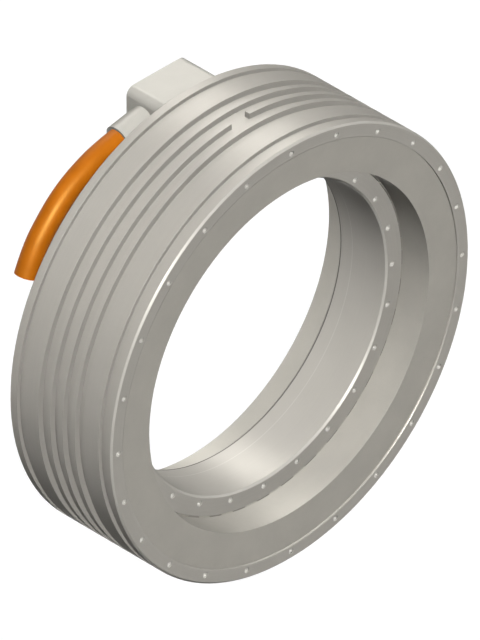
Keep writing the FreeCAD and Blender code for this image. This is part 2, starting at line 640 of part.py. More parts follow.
def draw_cover_screws(sketch, radius):
    """Four circles at the places of the cover's screws."""
    for side in (-1, 1):
        for height in (size("cover_screw_bottom"), size("cover_screw_top")):
            add_circle(sketch, f"{side} * {size('cover_screw_x')}", height, radius)


def draw_box_screws(sketch, radius):
    for side in (-1, 1):
        add_circle(sketch, f"{side} * {size('box_screw_x')}", size("box_screw_z"), radius)


def make_connection_box():
    """The connection box: a cast shell with a recess for its cover, screw holes and a cable entry."""
    body = new_body("connection_box")
    floor, rear, ledge = size("jacket_length"), size("box_rear"), size("ledge_plane")
    padded(body, "Shell", lambda sketch: draw_rounded_box(
        sketch, size("box_half_width"), size("box_bottom"), size("box_top"), size("box_top_radius")),
        floor, size("box_depth"))
    pocketed(body, "CoverRecess", lambda sketch: draw_rebate(sketch, "0"), ledge, f"{rear} - {ledge} + 1")
    pocketed(body, "Cavity", draw_cavity, size("cavity_front"), f"{rear} - {size('cavity_front')} + 1")
    gap = size("screw_clearance")
    pocketed(body, "LeadWindows", lambda sketch: draw_lead_bars(sketch, gap),
             f"{floor} - 1", f"{size('box_floor')} + 2")
    seat = size("box_screw_seat")
    pocketed(body, "BoxScrewHoles", lambda sketch: draw_box_screws(
        sketch, f"{size('box_screw_diameter')} / 2 + {gap}"), f"{floor} - 1", f"{seat} - {floor} + 2")
    pocketed(body, "BoxScrewHeads", lambda sketch: draw_box_screws(
        sketch, f"{size('box_screw_head_diameter')} / 2 + {gap}"), seat, f"{ledge} - {seat} + 1")
    depth = f"({size('cover_screw_length')} - {size('cover_thickness')} - {size('gasket_thickness')} + 1)"
    pocketed(body, "CoverScrewHoles", lambda sketch: draw_cover_screws(
        sketch, f"{size('cover_screw_diameter')} / 2 + {gap}"), f"{ledge} - {depth}", f"{depth} + 1")
    cut_cable_entry(body)
    return body


def cut_cable_entry(body):
    """The sloping socket for the sleeve and the hole behind it for the cable's cores."""
    for name, radius, inward in (
        ("SleeveSocket", size("sleeve_radius"), size("sleeve_socket")),
        ("CoreHole", size("core_hole_radius"),
         f"({size('box_rim')} + {size('box_side_ledge')} + {size('sleeve_socket')})"),
    ):
        sketch = body.newObject("Sketcher::SketchObject", f"{name}_sketch")
        sketch.AttachmentSupport = (origin_feature(body, "XZ_Plane"), [""])
        sketch.MapMode = "FlatFace"
        add_polygon(sketch, rectangle("0", radius, f"-({inward})", size("sleeve_length")))
        place_on_cable_axis(sketch)
        cut = body.newObject("PartDesign::Groove", name)
        cut.Profile = sketch
        cut.ReferenceAxis = (sketch, ["V_Axis"])
        cut.Angle = 360


def place_on_cable_axis(sketch):
    """Puts an attached sketch's origin at the cable's exit, with its Y axis along the exit."""
    offset = "AttachmentOffset"
    turned = FreeCAD.Rotation(FreeCAD.Vector(0, 0, 1), 1)
    sketch.AttachmentOffset = FreeCAD.Placement(FreeCAD.Vector(), turned)
    sketch.setExpression(f"{offset}.Rotation.Angle", f"90 + {size('cable_exit_slope')}")
    sketch.setExpression(f"{offset}.Base.x", f"-({size('box_half_width')})")
    sketch.setExpression(f"{offset}.Base.y", size("cable_axis_z"))
    sketch.setExpression(f"{offset}.Base.z", f"-({size('cable_axis_y')})")


def make_box_cover():
    """The inset cover with its four screw holes."""
    body = new_body("box_cover")
    start = size("gasket_plane")
    padded(body, "CoverPlate", lambda sketch: draw_rebate(sketch, size("cover_clearance")),
           start, size("cover_thickness"))
    pocketed(body, "ScrewHoles", lambda sketch: draw_cover_screws(
        sketch, f"{size('cover_screw_diameter')} / 2 + {size('screw_clearance')}"),
        f"{start} - 1", f"{size('cover_thickness')} + 2")
    return body


def make_box_gasket():
    """The gasket, a flat frame on the ledge round the cavity, inside the screws."""
    body = new_body("box_gasket")
    padded(body, "GasketFrame", lambda sketch: [
        draw_cavity(sketch, size("gasket_width")), draw_cavity(sketch, "0")],
        size("ledge_plane"), size("gasket_thickness"))
    return body


def make_cover_screws():
    """Four screws with low heads, through the cover and the gasket into the ledge."""
    body = new_body("cover_screws")
    rear, length = size("box_rear"), size("cover_screw_length")
    padded(body, "Shanks", lambda sketch: draw_cover_screws(
        sketch, f"{size('cover_screw_diameter')} / 2"), f"{rear} - {length}", length)
    padded(body, "Heads", lambda sketch: draw_cover_screws(
        sketch, f"{size('cover_screw_head_diameter')} / 2"), rear, size("cover_screw_head_height"))
    return body


def make_box_screws():
    """Two long screws under the cover that hold the box to the jacket."""
    body = new_body("box_screws")
    tip = f"({size('jacket_length')} - {size('box_screw_grip')})"
    seat = size("box_screw_seat")
    padded(body, "Shanks", lambda sketch: draw_box_screws(
        sketch, f"{size('box_screw_diameter')} / 2"), tip, f"{seat} - {tip}")
    padded(body, "Heads", lambda sketch: draw_box_screws(
        sketch, f"{size('box_screw_head_diameter')} / 2"), seat, size("box_screw_head_height"))
    return body


def make_terminal_block():
    """The block in the box where the bars meet the cable's cores."""
    body = new_body("terminal_block")
    half_width, half_height = f"{size('terminal_block_width')} / 2", f"{size('terminal_block_height')} / 2"
    middle = size("terminal_middle")
    padded(body, "Block", lambda sketch: add_polygon(sketch, rectangle(
        f"-{half_width}", half_width, f"{middle} - {half_height}", f"{middle} + {half_height}")),
        size("terminal_front"), size("terminal_block_depth"))
    return body


def make_cable_sleeve():
    """The sleeve on the cable, with its root in the box's wall and a shoulder for the cable's jacket."""
    body = new_body("cable_sleeve")
    sketch = new_sketch(body, "SleeveSection", "XZ_Plane")
    outer, bore = size("sleeve_radius"), f"{size('cable_radius')} + {size('sleeve_clearance')}"
    root, tip, shoulder = f"-({size('sleeve_socket')})", size("sleeve_length"), size("sleeve_shoulder")
    hole = size("core_hole_radius")
    add_polygon(sketch, [
        (hole, root), (outer, root), (outer, tip), (bore, tip), (bore, shoulder), (hole, shoulder)])
    place_on_cable_axis(sketch)
    turn = body.newObject("PartDesign::Revolution", "Sleeve")
    turn.Profile = sketch
    turn.ReferenceAxis = (sketch, ["V_Axis"])
    turn.Angle = 360
    return body


def make_cable_cores():
    """The cable's four cores, bared between the end of its jacket and the terminal block."""
    body = new_body("cable_cores")
    sketch = new_sketch(body, "CoreSections", "XY_Plane", f"-({size('sleeve_shoulder')})")
    half, radius = f"{size('core_wire_spacing')} / 2", f"{size('core_wire_diameter')} / 2"
    for across in (-1, 1):
        for beside in (-1, 1):
            add_circle(sketch, f"{across} * {half}", f"{beside} * {half}", radius)
    pad = body.newObject("PartDesign::Pad", "Cores")
    pad.Profile = sketch
    run = f"{size('box_half_width')} - {size('terminal_block_width')} / 2"
    pad.setExpression("Length", f"({run}) / cos({size('cable_exit_slope')}) + {size('sleeve_shoulder')}"
                      f" - {size('core_end_gap')}")
    body.Placement = FreeCAD.Placement(FreeCAD.Vector(), FreeCAD.Rotation(FreeCAD.Vector(0, 1, 0), 1))
    body.setExpression("Placement.Rotation.Angle", f"90 - {size('cable_exit_slope')}")
    body.setExpression("Placement.Base.x", f"-({size('box_half_width')})")
    body.setExpression("Placement.Base.y", size("cable_axis_y"))
    body.setExpression("Placement.Base.z", size("cable_axis_z"))
    return body


def cable_path(points):
    """Straight runs joined by tangent arcs, each as large as its two runs allow."""
    edges = []
    start = points[0]
    for before, corner, after in zip(points, points[1:], points[2:]):
        inward, outward = (before - corner), (after - corner)
        shorter = min(inward.Length, outward.Length)
        half_turn = (math.pi - inward.getAngle(outward)) / 2
        cut = ARC_SHARE * shorter
        radius = cut / math.tan(half_turn)
        inward.normalize()
        outward.normalize()
        first, last = corner + inward * cut, corner + outward * cut
        bisector = (inward + outward).normalize()
        centre = corner + bisector * (radius / math.cos(half_turn))
        middle = centre - bisector * radius
        print(f"cable arc radius {radius:.1f} mm, turn {math.degrees(2 * half_turn):.1f} degrees")
        edges.append(Part.LineSegment(start, first).toShape())
        edges.append(Part.Arc(first, middle, last).toShape())
        start = last
    edges.append(Part.LineSegment(start, points[-1]).toShape())
    return Part.Wire(edges)


def make_power_cable():
    """The power cable as a tube along its route, from its exit to its cut end."""
    depth = value_of(size("cable_axis_y"))
    points = [FreeCAD.Vector(x, depth, z) for x, z in CABLE_ROUTE]
    route = doc.addObject("Part::Feature", "CableRoute")
    route.Shape = cable_path(points)
    section = doc.addObject("Part::Circle", "CableSection")
    section.setExpression("Radius", size("cable_radius"))
    direction = points[1] - points[0]
    section.Placement = FreeCAD.Placement(points[0], FreeCAD.Rotation(FreeCAD.Vector(0, 0, 1), direction))
    cable = doc.addObject("Part::Sweep", "power_cable")
    cable.Sections = [section]
    cable.Spine = route
    cable.Solid = True
    cable.Frenet = False
    cable.Label = "power_cable"
    doc.recompute()
    section_area = math.pi * value_of(size("cable_radius")) ** 2
    print(f"cable length {route.Shape.Length:.1f} mm, volume over section times length "
          f"{cable.Shape.Volume / (section_area * route.Shape.Length):.4f}")
    return cable


def make_parts():
    parts = [
        make_cooling_jacket(),
        make_stator_core(),
        make_slot_wedges(),
    ]
    parts += [make_coils(f"coils_phase_{phase}", tooth) for tooth, phase in enumerate("uvw")]
    parts += [make_lead_ring(f"connection_ring_{phase}", size(f"lead_radius_{phase}")) for phase in "uvw"]
    parts += [
        make_lead_ring("star_ring", size("star_radius")),
        make_lead_bars(),
        make_temperature_sensors(),
        make_front_resin(),
        make_rear_resin(),
        make_connection_box(),
        make_box_cover(),
        make_box_gasket(),
        make_cover_screws(),
        make_box_screws(),
        make_terminal_block(),
        make_cable_sleeve(),
        make_cable_cores(),
        make_power_cable(),
        make_rotor_ring(),
        make_magnets("magnets_north", 0),
        make_magnets("magnets_south", 1),
        make_magnet_cover(),
    ]
    return parts


def check(parts):
    """Stops on a failed feature, or on a part with no valid solid."""
    for item in doc.Objects:
        if "Invalid" in item.State or "Error" in item.State:
            raise RuntimeError(f"{item.Name} failed: {item.State}")
    for part in parts:
        if part.Shape.isNull() or not part.Shape.isValid() or not part.Shape.Solids:
            raise RuntimeError(f"{part.Label} has no valid solid")


fill_sheet()
fill_layout()
motor_parts = make_parts()
doc.recompute()
check(motor_parts)
os.makedirs(PARTS_FOLDER, exist_ok=True)
for motor_part in motor_parts:
    motor_part.Shape.exportStep(f"{PARTS_FOLDER}/{motor_part.Label}.step")
    print(motor_part.Label, len(motor_part.Shape.Solids), round(motor_part.Shape.Volume))
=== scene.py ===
"""Looks of a built-in torque motor: turned metal, cast resin, threads, screws, cable and a pale studio."""

import json
import math
from collections import namedtuple

import bmesh
import bpy
from bpy.props import FloatProperty, FloatVectorProperty, IntProperty, PointerProperty
from bpy.types import Operator, Panel, PropertyGroup
from mathutils import Matrix, Vector


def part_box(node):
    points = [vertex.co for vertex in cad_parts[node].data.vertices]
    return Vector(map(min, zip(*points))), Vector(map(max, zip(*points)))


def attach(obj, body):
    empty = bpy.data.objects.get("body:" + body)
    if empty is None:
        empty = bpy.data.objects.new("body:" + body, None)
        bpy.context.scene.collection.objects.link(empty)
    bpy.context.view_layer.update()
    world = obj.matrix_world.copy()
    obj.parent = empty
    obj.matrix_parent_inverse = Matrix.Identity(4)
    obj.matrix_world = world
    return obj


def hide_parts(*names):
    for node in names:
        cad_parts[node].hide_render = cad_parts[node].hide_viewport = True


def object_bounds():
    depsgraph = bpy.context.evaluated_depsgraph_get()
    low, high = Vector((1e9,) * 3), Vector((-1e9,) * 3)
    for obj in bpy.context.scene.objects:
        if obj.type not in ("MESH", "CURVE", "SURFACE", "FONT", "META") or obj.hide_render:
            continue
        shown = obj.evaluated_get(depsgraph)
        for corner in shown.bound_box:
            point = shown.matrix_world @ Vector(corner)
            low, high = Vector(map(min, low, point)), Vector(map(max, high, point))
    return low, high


bl_info = {
    "name": "Torque Motor Finish",
    "version": (1, 0, 0),
    "blender": (4, 5, 0),
    "location": "View3D > Sidebar > Torque Motor",
    "description": "Gives the pieces of a built-in torque motor their finish and sets up a pale studio",
    "category": "Object",
}

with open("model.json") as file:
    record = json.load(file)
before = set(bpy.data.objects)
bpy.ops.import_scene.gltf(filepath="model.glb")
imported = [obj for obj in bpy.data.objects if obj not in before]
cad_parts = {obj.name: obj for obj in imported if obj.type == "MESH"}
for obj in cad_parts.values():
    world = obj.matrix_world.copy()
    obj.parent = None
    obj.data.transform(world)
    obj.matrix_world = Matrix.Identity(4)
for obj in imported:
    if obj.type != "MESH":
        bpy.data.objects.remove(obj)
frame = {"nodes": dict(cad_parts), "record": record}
nodes = frame["nodes"]
mounts = {mount["name"]: mount for mount in frame["record"]["mounts"]}
cad_low, cad_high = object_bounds()

PHOTO_WIDTH, PHOTO_HEIGHT = 480, 640
# Pixel of the photograph where the motor's axis meets its front face.
PHOTO_ORIGIN_X, PHOTO_ORIGIN_Y = 291.4, 353.7
MILLIMETRE = 0.001
# A wave texture of scale 1 repeats after this length.
WAVE_PERIOD = math.tau / 20
# Most of a noise texture lies between these two levels.
NOISE_LOW, NOISE_HIGH = 0.3, 0.7
# Rays that look for an edge near a point, in the shading of broken edges.
EDGE_RAYS = 4
# Share of metal in the shading of the pale surfaces, which are satin or matt and mirror nothing.
SATIN = 0.08
# Share of a line's half width over which its edge fades in and out.
LINE_BLUR = 0.4

# A part of a surface that differs: where its pattern is 1, it has this colour, roughness and metal.
Mark = namedtuple("Mark", "pattern colour rough metal")
# A thin ring in a bore: its place along the axis, half its width, how strongly it shows, and its colour.
Line = namedtuple("Line", "along half_width strength colour")

# The cable's route in the part's source, in metres: (X, Z) in the plane of its axis.
CABLE_ROUTE = [
    (-0.04567, 0.16617),
    (-0.07275, 0.1612),
    (-0.09624, 0.15287),
    (-0.11702, 0.14059),
    (-0.13395, 0.12418),
    (-0.14852, 0.10594),
    (-0.15665, 0.08699),
]


def linear(code):
    """A colour written as #RRGGBB in sRGB, as the linear values that Blender works in."""
    levels = [int(code[place:place + 2], 16) / 255 for place in (1, 3, 5)]
    return [level / 12.92 if level <= 0.04045 else ((level + 0.055) / 1.055) ** 2.4 for level in levels]


def colour_property(name, description, code):
    """A colour that a user may change, with its default as #RRGGBB."""
    return FloatVectorProperty(
        name=name, description=description, subtype="COLOR", size=3, min=0, max=1, default=linear(code))


def length_property(name, description, millimetres, most):
    """A size that a user may change, with its default and its most in millimetres."""
    return FloatProperty(
        name=name, description=description, default=millimetres * MILLIMETRE, min=0, max=most * MILLIMETRE,
        precision=5, unit="LENGTH")


class TorqueMotorSizes(PropertyGroup):
    """Sizes of the finish that a user may change."""

    edge_break: length_property("Edge break", "Radius of the broken edges of metal and resin", 0.25, 2)
    rim_break: length_property("Rim break", "Radius of the jacket's edge round the front resin", 1.4, 3)
    tool_mark: length_property("Tool mark", "Width of the turning marks on the rings", 1.6, 10)
    blast_grain: length_property("Blast grain", "Grain of the blasted box, cover and sleeve", 0.9, 5)
    thread_pitch: length_property("Thread pitch", "Pitch of the threads in the bolt holes", 0.8, 2)
    thread_depth: length_property("Thread depth", "How far a thread stands into its hole", 0.433, 1)
    thread_lead_in: length_property("Thread lead-in", "Depth in the hole at which the thread starts", 0.5, 3)
    thread_turns: IntProperty(
        name="Thread turns", description="Turns of thread in each bolt hole", default=12, min=1, max=13)
    screw_shank: length_property("Screw shank", "Diameter of the cover screws' shanks", 3.0, 4)
    screw_length: length_property("Screw length", "Length of the cover screws under the head", 10, 12)
    screw_head: length_property("Screw head", "Diameter of the cover screws' domed heads", 5.6, 6)
    screw_head_height: length_property("Screw head height", "Height of the cover screws' heads", 1.6, 2)
    screw_socket: length_property("Screw socket", "Width across flats of the cover screws' sockets", 2.0, 3)
    cable_diameter: length_property("Cable diameter", "Outside of the power cable", 19.0, 25)
    sheath_wall: length_property("Sheath wall", "Wall of the power cable's sheath", 1.7, 4)
    core_diameter: length_property("Core diameter", "Outside of one of the power cable's cores", 5.6, 7)
    strand_diameter: length_property("Strand diameter", "Thickness of a copper strand in a core", 1.2, 2)


class TorqueMotorColours(PropertyGroup):
    """Colours of the finish that a user may change."""

    jacket: colour_property("Jacket", "Turned aluminium of the cooling jacket", "#B8B4AC")
    rotor: colour_property("Rotor", "Turned steel of the rotor's ring", "#BBB7AF")
    # Lighter than the jacket: a fresh cut, and in part a painted highlight on the chamfers.
    cut_edge_and_highlight: colour_property("Cut edge", "Chamfers, cut last and bright", "#C0BDB5")
    # Painted shade: a dark ring drawn where the rotor's bore meets its rear chamfer.
    painted_shade_line: colour_property("Dark line", "Ring in the rotor's bore near its rear chamfer", "#4C4A46")
    # A faint pale ring drawn in the rotor's bore, 12.3 mm in front of the dark one.
    pale_line: colour_property("Pale line", "Ring in the rotor's bore where two cuts meet", "#E0DED8")
    resin: colour_property("Resin", "Resin cast over the coils and the magnets", "#B8B4AB")
    box: colour_property("Box", "Blasted aluminium of the connection box, cover and sleeve", "#BFBCB4")
    # Lighter than the turned faces: a fresh cut, and in part painted light in the holes.
    thread: colour_property("Thread", "Freshly cut metal of the threads", "#CFCCC4")
    sheath: colour_property("Sheath", "Sheath of the power cable", "#C1690B")
    lamination: colour_property("Lamination", "Resin-soaked edges of the stator's steel sheets", "#A5A198")
    copper: colour_property("Copper", "Bare copper of rings, bars and strands", "#C9784A")
    enamel: colour_property("Enamel", "Enamelled copper wire of the coils", "#8C3F1E")
    laminate: colour_property("Laminate", "Resin-soaked glass laminate of the slot wedges", "#A9A598")
    nylon: colour_property("Nylon", "Moulded nylon of the terminal block and sensors", "#D9D2BC")
    rubber: colour_property("Rubber", "Gasket under the box's cover", "#3A3A38")
    core_sheath: colour_property("Core sheath", "Insulation of the cable's cores", "#26262A")
    filler: colour_property("Filler", "Filler between the cable's cores", "#CFC9BC")
    magnet: colour_property("Magnet", "Nickel plating of the magnets", "#8B8A86")
    screw: colour_property("Screw", "Zinc-plated steel of the screws", "#A9A69D")
    floor: colour_property("Floor", "Floor and background", "#FCFCFC")


class TorqueMotorStage(PropertyGroup):
    """Camera and light that a user may change."""

    camera_azimuth: FloatProperty(
        name="Azimuth", description="Turn of the camera round the motor", default=math.radians(-45),
        subtype="ANGLE")
    camera_elevation: FloatProperty(
        name="Elevation", description="Height of the camera above the horizon",
        default=math.atan(math.sqrt(0.5)), subtype="ANGLE")
    camera_distance: FloatProperty(
        name="Distance", description="Distance of the camera from the motor", default=17.3, unit="LENGTH")
    pixel_size: FloatProperty(
        name="Pixel size", description="Size on the motor of one pixel of the photograph",
        default=0.0007594, precision=7, unit="LENGTH")
    key_strength: FloatProperty(
        name="Key light", description="Strength of the main light, from the upper left in front",
        default=3.5, min=0)
    shadow_share: FloatProperty(
        name="Shadow", description="Share of the key light that casts shadows", default=0.1, min=0, max=1)
    back_strength: FloatProperty(
        name="Back light", description="Strength of the light that fills the sides away from the camera",
        default=2.6, min=0)
    sheen_strength: FloatProperty(
        name="Sheen light", description="Strength of the reflection along the top of the rings",
        default=2.4, min=0)
    edge_strength: FloatProperty(
        name="Edge light", description="Strength of the reflection on edges that face the camera",
        default=24.0, min=0)
    ambient: FloatProperty(
        name="Ambient", description="Level of the light from all round", default=0.045, min=0, max=1)


def settings():
    """The sizes, the colours and the stage as the user has set them."""
    scene = bpy.context.scene
    return scene.torque_motor_sizes, scene.torque_motor_colours, scene.torque_motor_stage


def opaque(colour):
    """A colour with the fourth value that sockets take."""
    return (*colour, 1.0)


def add_node(tree, kind, values=None, links=None, **choices):
    """A shader node with its choices set, its sockets filled and its links made."""
    node = tree.nodes.new(kind)
    for name, choice in choices.items():
        setattr(node, name, choice)
    for socket, value in (values or {}).items():
        node.inputs[socket].default_value = value
    for socket, source in (links or {}).items():
        tree.links.new(source, node.inputs[socket])
    return node


def new_material(name):
    """An empty node material, with its tree and the surface socket of its output."""
    material = bpy.data.materials.new(name)
    material.use_nodes = True
    tree = material.node_tree
    tree.nodes.clear()
    output = tree.nodes.new("ShaderNodeOutputMaterial")
    return material, tree, output.inputs["Surface"]


def cover_with(
        tree, surface, colour, shade, gloss, relief, marks=(), normal=None, metal=0.0, shine=0.5,
        tint=(1.0, 1.0, 1.0), coat=0.0):
    """The shader that a material's patterns end in.

    shade is a pattern with the darkest and the lightest share of the colour, gloss one with the least and
    the most roughness, and relief one with its depth. The marks lie on top. A mark whose metal is that of the
    surface leaves the metal under it as it is. normal is the direction of a surface whose edges look broken.
    metal, shine with its tint, and coat are those of the whole surface.
    """
    shares = []
    for pattern, low, high in (shade, gloss):
        levels = {"From Min": NOISE_LOW, "From Max": NOISE_HIGH, "To Min": low, "To Max": high}
        shares.append(add_node(tree, "ShaderNodeMapRange", levels, {"Value": pattern}).outputs["Result"])
    tone = add_node(
        tree, "ShaderNodeMix", {"Factor": 1.0, "A": opaque(colour)}, {"B": shares[0]}, data_type="RGBA",
        blend_type="MULTIPLY").outputs["Result"]
    rough, metallic = shares[1], None
    for mark in marks:
        tone = add_node(
            tree, "ShaderNodeMix", {"B": opaque(mark.colour)}, {"Factor": mark.pattern, "A": tone},
            data_type="RGBA").outputs["Result"]
        rough = add_node(
            tree, "ShaderNodeMix", {"B": mark.rough}, {"Factor": mark.pattern, "A": rough},
            data_type="FLOAT").outputs["Result"]
        if mark.metal != metal:
            below = {"A": metallic} if metallic else {}
            metallic = add_node(
                tree, "ShaderNodeMix", {"A": metal, "B": mark.metal}, {"Factor": mark.pattern, **below},
                data_type="FLOAT").outputs["Result"]
    bump = add_node(tree, "ShaderNodeBump", {"Strength": 0.5, "Distance": relief[1]}, {"Height": relief[0]})
    if normal:
        tree.links.new(normal, bump.inputs["Normal"])
    shader = add_node(
        tree, "ShaderNodeBsdfPrincipled", {
            "Metallic": metal, "Specular IOR Level": shine, "Specular Tint": opaque(tint), "Coat Weight": coat,
            "Coat Roughness": 0.2},
        {"Base Color": tone, "Roughness": rough, "Normal": bump.outputs["Normal"]})
    if metallic:
        tree.links.new(metallic, shader.inputs["Metallic"])
    tree.links.new(shader.outputs["BSDF"], surface)


def turned_metal(name, colour, cut_and_highlight_colour, cut_metal, mark_width, edge, worn_edge=None, bore_lines=()):
    """Turned aluminium or steel, degreased: a satin grey with faint rings from the tool and a cloudy gloss.

    The tool's feed is 0.15 mm a turn. That is too fine to show, so its marks are drawn as wide as mark_width.
    The 45 degree chamfers are cut last and have the colour and metal of a fresh cut; their lighter colour
    is in part a painted highlight. worn_edge is the radius of an edge that is broken wider than the rest,
    and how wide. bore_lines are thin painted rings in the bore: a dark one of painted shade, and a pale one.
    """
    material, tree, surface = new_material(name)
    place = add_node(tree, "ShaderNodeTexCoord").outputs["Object"]
    across = add_node(tree, "ShaderNodeVectorMath", {1: (1, 0, 1)}, {0: place}, operation="MULTIPLY")
    radius = add_node(tree, "ShaderNodeVectorMath", links={0: across.outputs[0]}, operation="LENGTH")
    along = add_node(tree, "ShaderNodeSeparateXYZ", links={0: place}).outputs["Y"]
    lathe = add_node(tree, "ShaderNodeCombineXYZ", links={"X": radius.outputs["Value"], "Y": along})
    rings = add_node(
        tree, "ShaderNodeTexNoise", {"Scale": 1 / mark_width, "Detail": 3.0, "Roughness": 0.65},
        {"Vector": lathe.outputs[0]}, noise_dimensions="2D").outputs["Fac"]
    cloud = add_node(
        tree, "ShaderNodeTexNoise", {"Scale": 1 / (45 * MILLIMETRE), "Detail": 4.0, "Roughness": 0.6},
        {"Vector": place}).outputs["Fac"]
    both = add_node(
        tree, "ShaderNodeMix", {"Factor": 0.35}, {"A": cloud, "B": rings},
        data_type="FLOAT").outputs["Result"]
    facing = add_node(tree, "ShaderNodeNewGeometry").outputs["True Normal"]
    slope = add_node(tree, "ShaderNodeSeparateXYZ", links={0: facing}).outputs["Y"]
    slope = add_node(tree, "ShaderNodeMath", links={0: slope}, operation="ABSOLUTE").outputs[0]
    diagonal, margin = math.sqrt(0.5), 0.06
    chamfer = add_node(
        tree, "ShaderNodeMath", {1: diagonal, 2: margin}, {0: slope}, operation="COMPARE").outputs[0]
    broken = add_node(tree, "ShaderNodeBevel", {"Radius": edge}, samples=EDGE_RAYS)
    # The chamfers' lighter colour is a fresh cut, and in part a painted highlight.
    marks = [Mark(chamfer, cut_and_highlight_colour, rough=0.3, metal=cut_metal)]
    if worn_edge:
        worn_radius, worn_width = worn_edge
        worn = add_node(
            tree, "ShaderNodeMath", {1: worn_radius, 2: worn_width}, {0: radius.outputs["Value"]},
            operation="COMPARE").outputs[0]
        breadth = add_node(
            tree, "ShaderNodeMapRange", {"To Min": edge, "To Max": worn_width}, {"Value": worn})
        tree.links.new(breadth.outputs["Result"], broken.inputs["Radius"])
        marks.append(Mark(worn, colour, rough=0.36, metal=0.17))
    for line in bore_lines:
        away = add_node(
            tree, "ShaderNodeMath", {1: line.along}, {0: along}, operation="SUBTRACT").outputs[0]
        away = add_node(tree, "ShaderNodeMath", links={0: away}, operation="ABSOLUTE").outputs[0]
        near = add_node(
            tree, "ShaderNodeMapRange", {
                "From Min": (1 - LINE_BLUR) * line.half_width, "From Max": (1 + LINE_BLUR) * line.half_width,
                "To Min": line.strength, "To Max": 0.0},
            {"Value": away}).outputs["Result"]
        marks.append(Mark(near, line.colour, rough=0.5, metal=SATIN))
    cover_with(
        tree, surface, colour, (both, 0.955, 1.035), (rings, 0.36, 0.46), (rings, 0.12 * MILLIMETRE), marks,
        broken.outputs["Normal"], metal=SATIN, shine=0.0)
    return material


def blasted_metal(name, colour, grain, edge):
    """Glass-bead blasted cast aluminium: an even matt grey with a fine pebbled grain.

    Bead marks are 0.1 mm across. That is too fine to show, so they are drawn as wide as grain.
    """
    material, tree, surface = new_material(name)
    place = add_node(tree, "ShaderNodeTexCoord").outputs["Object"]
    beads = add_node(
        tree, "ShaderNodeTexNoise", {"Scale": 1 / grain, "Detail": 2.0, "Roughness": 0.5},
        {"Vector": place}).outputs["Fac"]
    cloud = add_node(
        tree, "ShaderNodeTexNoise", {"Scale": 1 / (25 * MILLIMETRE), "Detail": 4.0, "Roughness": 0.6},
        {"Vector": place}).outputs["Fac"]
    broken = add_node(tree, "ShaderNodeBevel", {"Radius": edge}, samples=EDGE_RAYS).outputs["Normal"]
    cover_with(
        tree, surface, colour, (cloud, 0.965, 1.03), (beads, 0.42, 0.5), (beads, 0.12 * MILLIMETRE),
        normal=broken, metal=SATIN, shine=0.0)
    return material


def cast_resin(name, colour, edge):
    """Quartz-filled epoxy, cast and faced on a lathe: matt grey, slightly cloudy, with specks of its filler.

    The filler's grains are 0.1 mm. They are drawn 1.2 mm apart, as coarse as they need to be to show.
    """
    material, tree, surface = new_material(name)
    place = add_node(tree, "ShaderNodeTexCoord").outputs["Object"]
    cloud = add_node(
        tree, "ShaderNodeTexNoise", {"Scale": 1 / (28 * MILLIMETRE), "Detail": 5.0, "Roughness": 0.6},
        {"Vector": place}).outputs["Fac"]
    grains = add_node(
        tree, "ShaderNodeTexVoronoi", {"Scale": 1 / (1.2 * MILLIMETRE)},
        {"Vector": place}).outputs["Distance"]
    speck = add_node(
        tree, "ShaderNodeMapRange", {"From Min": 0.12, "From Max": 0.22, "To Min": 0.3, "To Max": 0.0},
        {"Value": grains}).outputs["Result"]
    speck_shade = 0.75
    dark = [speck_shade * level for level in colour]
    broken = add_node(tree, "ShaderNodeBevel", {"Radius": edge}, samples=EDGE_RAYS).outputs["Normal"]
    cover_with(
        tree, surface, colour, (cloud, 0.96, 1.035), (cloud, 0.4, 0.5), (cloud, 0.15 * MILLIMETRE),
        [Mark(speck, dark, rough=0.6, metal=SATIN)], broken, metal=SATIN, shine=0.0)
    return material


def laminated_steel(name, colour):
    """Stamped electrical steel, stacked and soaked in resin: grey edges of thin sheets, side by side.

    The sheets are 0.35 mm thick and drawn 1 mm thick, so that they show.
    """
    material, tree, surface = new_material(name)
    place = add_node(tree, "ShaderNodeTexCoord").outputs["Object"]
    sheets = add_node(
        tree, "ShaderNodeTexWave", {"Scale": WAVE_PERIOD / MILLIMETRE}, {"Vector": place}, wave_type="BANDS",
        bands_direction="Y").outputs["Fac"]
    cloud = add_node(
        tree, "ShaderNodeTexNoise", {"Scale": 1 / (16 * MILLIMETRE), "Detail": 3.0},
        {"Vector": place}).outputs["Fac"]
    both = add_node(
        tree, "ShaderNodeMix", {"Factor": 0.5}, {"A": sheets, "B": cloud},
        data_type="FLOAT").outputs["Result"]
    cover_with(
        tree, surface, colour, (both, 0.8, 1.08), (cloud, 0.4, 0.55), (sheets, 0.2 * MILLIMETRE), metal=0.2,
        shine=0.0)
    return material


def wound_copper(name, colour):
    """Enamelled copper wire, wound in layers: glossy red-brown strands 1 mm thick, side by side."""
    material, tree, surface = new_material(name)
    place = add_node(tree, "ShaderNodeTexCoord").outputs["Object"]
    turns = add_node(
        tree, "ShaderNodeTexWave", {"Scale": WAVE_PERIOD / MILLIMETRE, "Distortion": 0.4, "Detail": 1.0},
        {"Vector": place}, wave_type="BANDS", bands_direction="DIAGONAL").outputs["Fac"]
    cover_with(
        tree, surface, colour, (turns, 0.7, 1.1), (turns, 0.25, 0.4), (turns, 0.3 * MILLIMETRE), metal=0.5,
        coat=0.6)
    return material


def bare_copper(name, colour):
    """Bare drawn copper: a warm metal, dulled by handling in patches about 8 mm across."""
    material, tree, surface = new_material(name)
    place = add_node(tree, "ShaderNodeTexCoord").outputs["Object"]
    dull = add_node(
        tree, "ShaderNodeTexNoise", {"Scale": 1 / (8 * MILLIMETRE), "Detail": 4.0, "Roughness": 0.6},
        {"Vector": place}).outputs["Fac"]
    cover_with(
        tree, surface, colour, (dull, 0.82, 1.08), (dull, 0.3, 0.5), (dull, 0.05 * MILLIMETRE), metal=0.9)
    return material


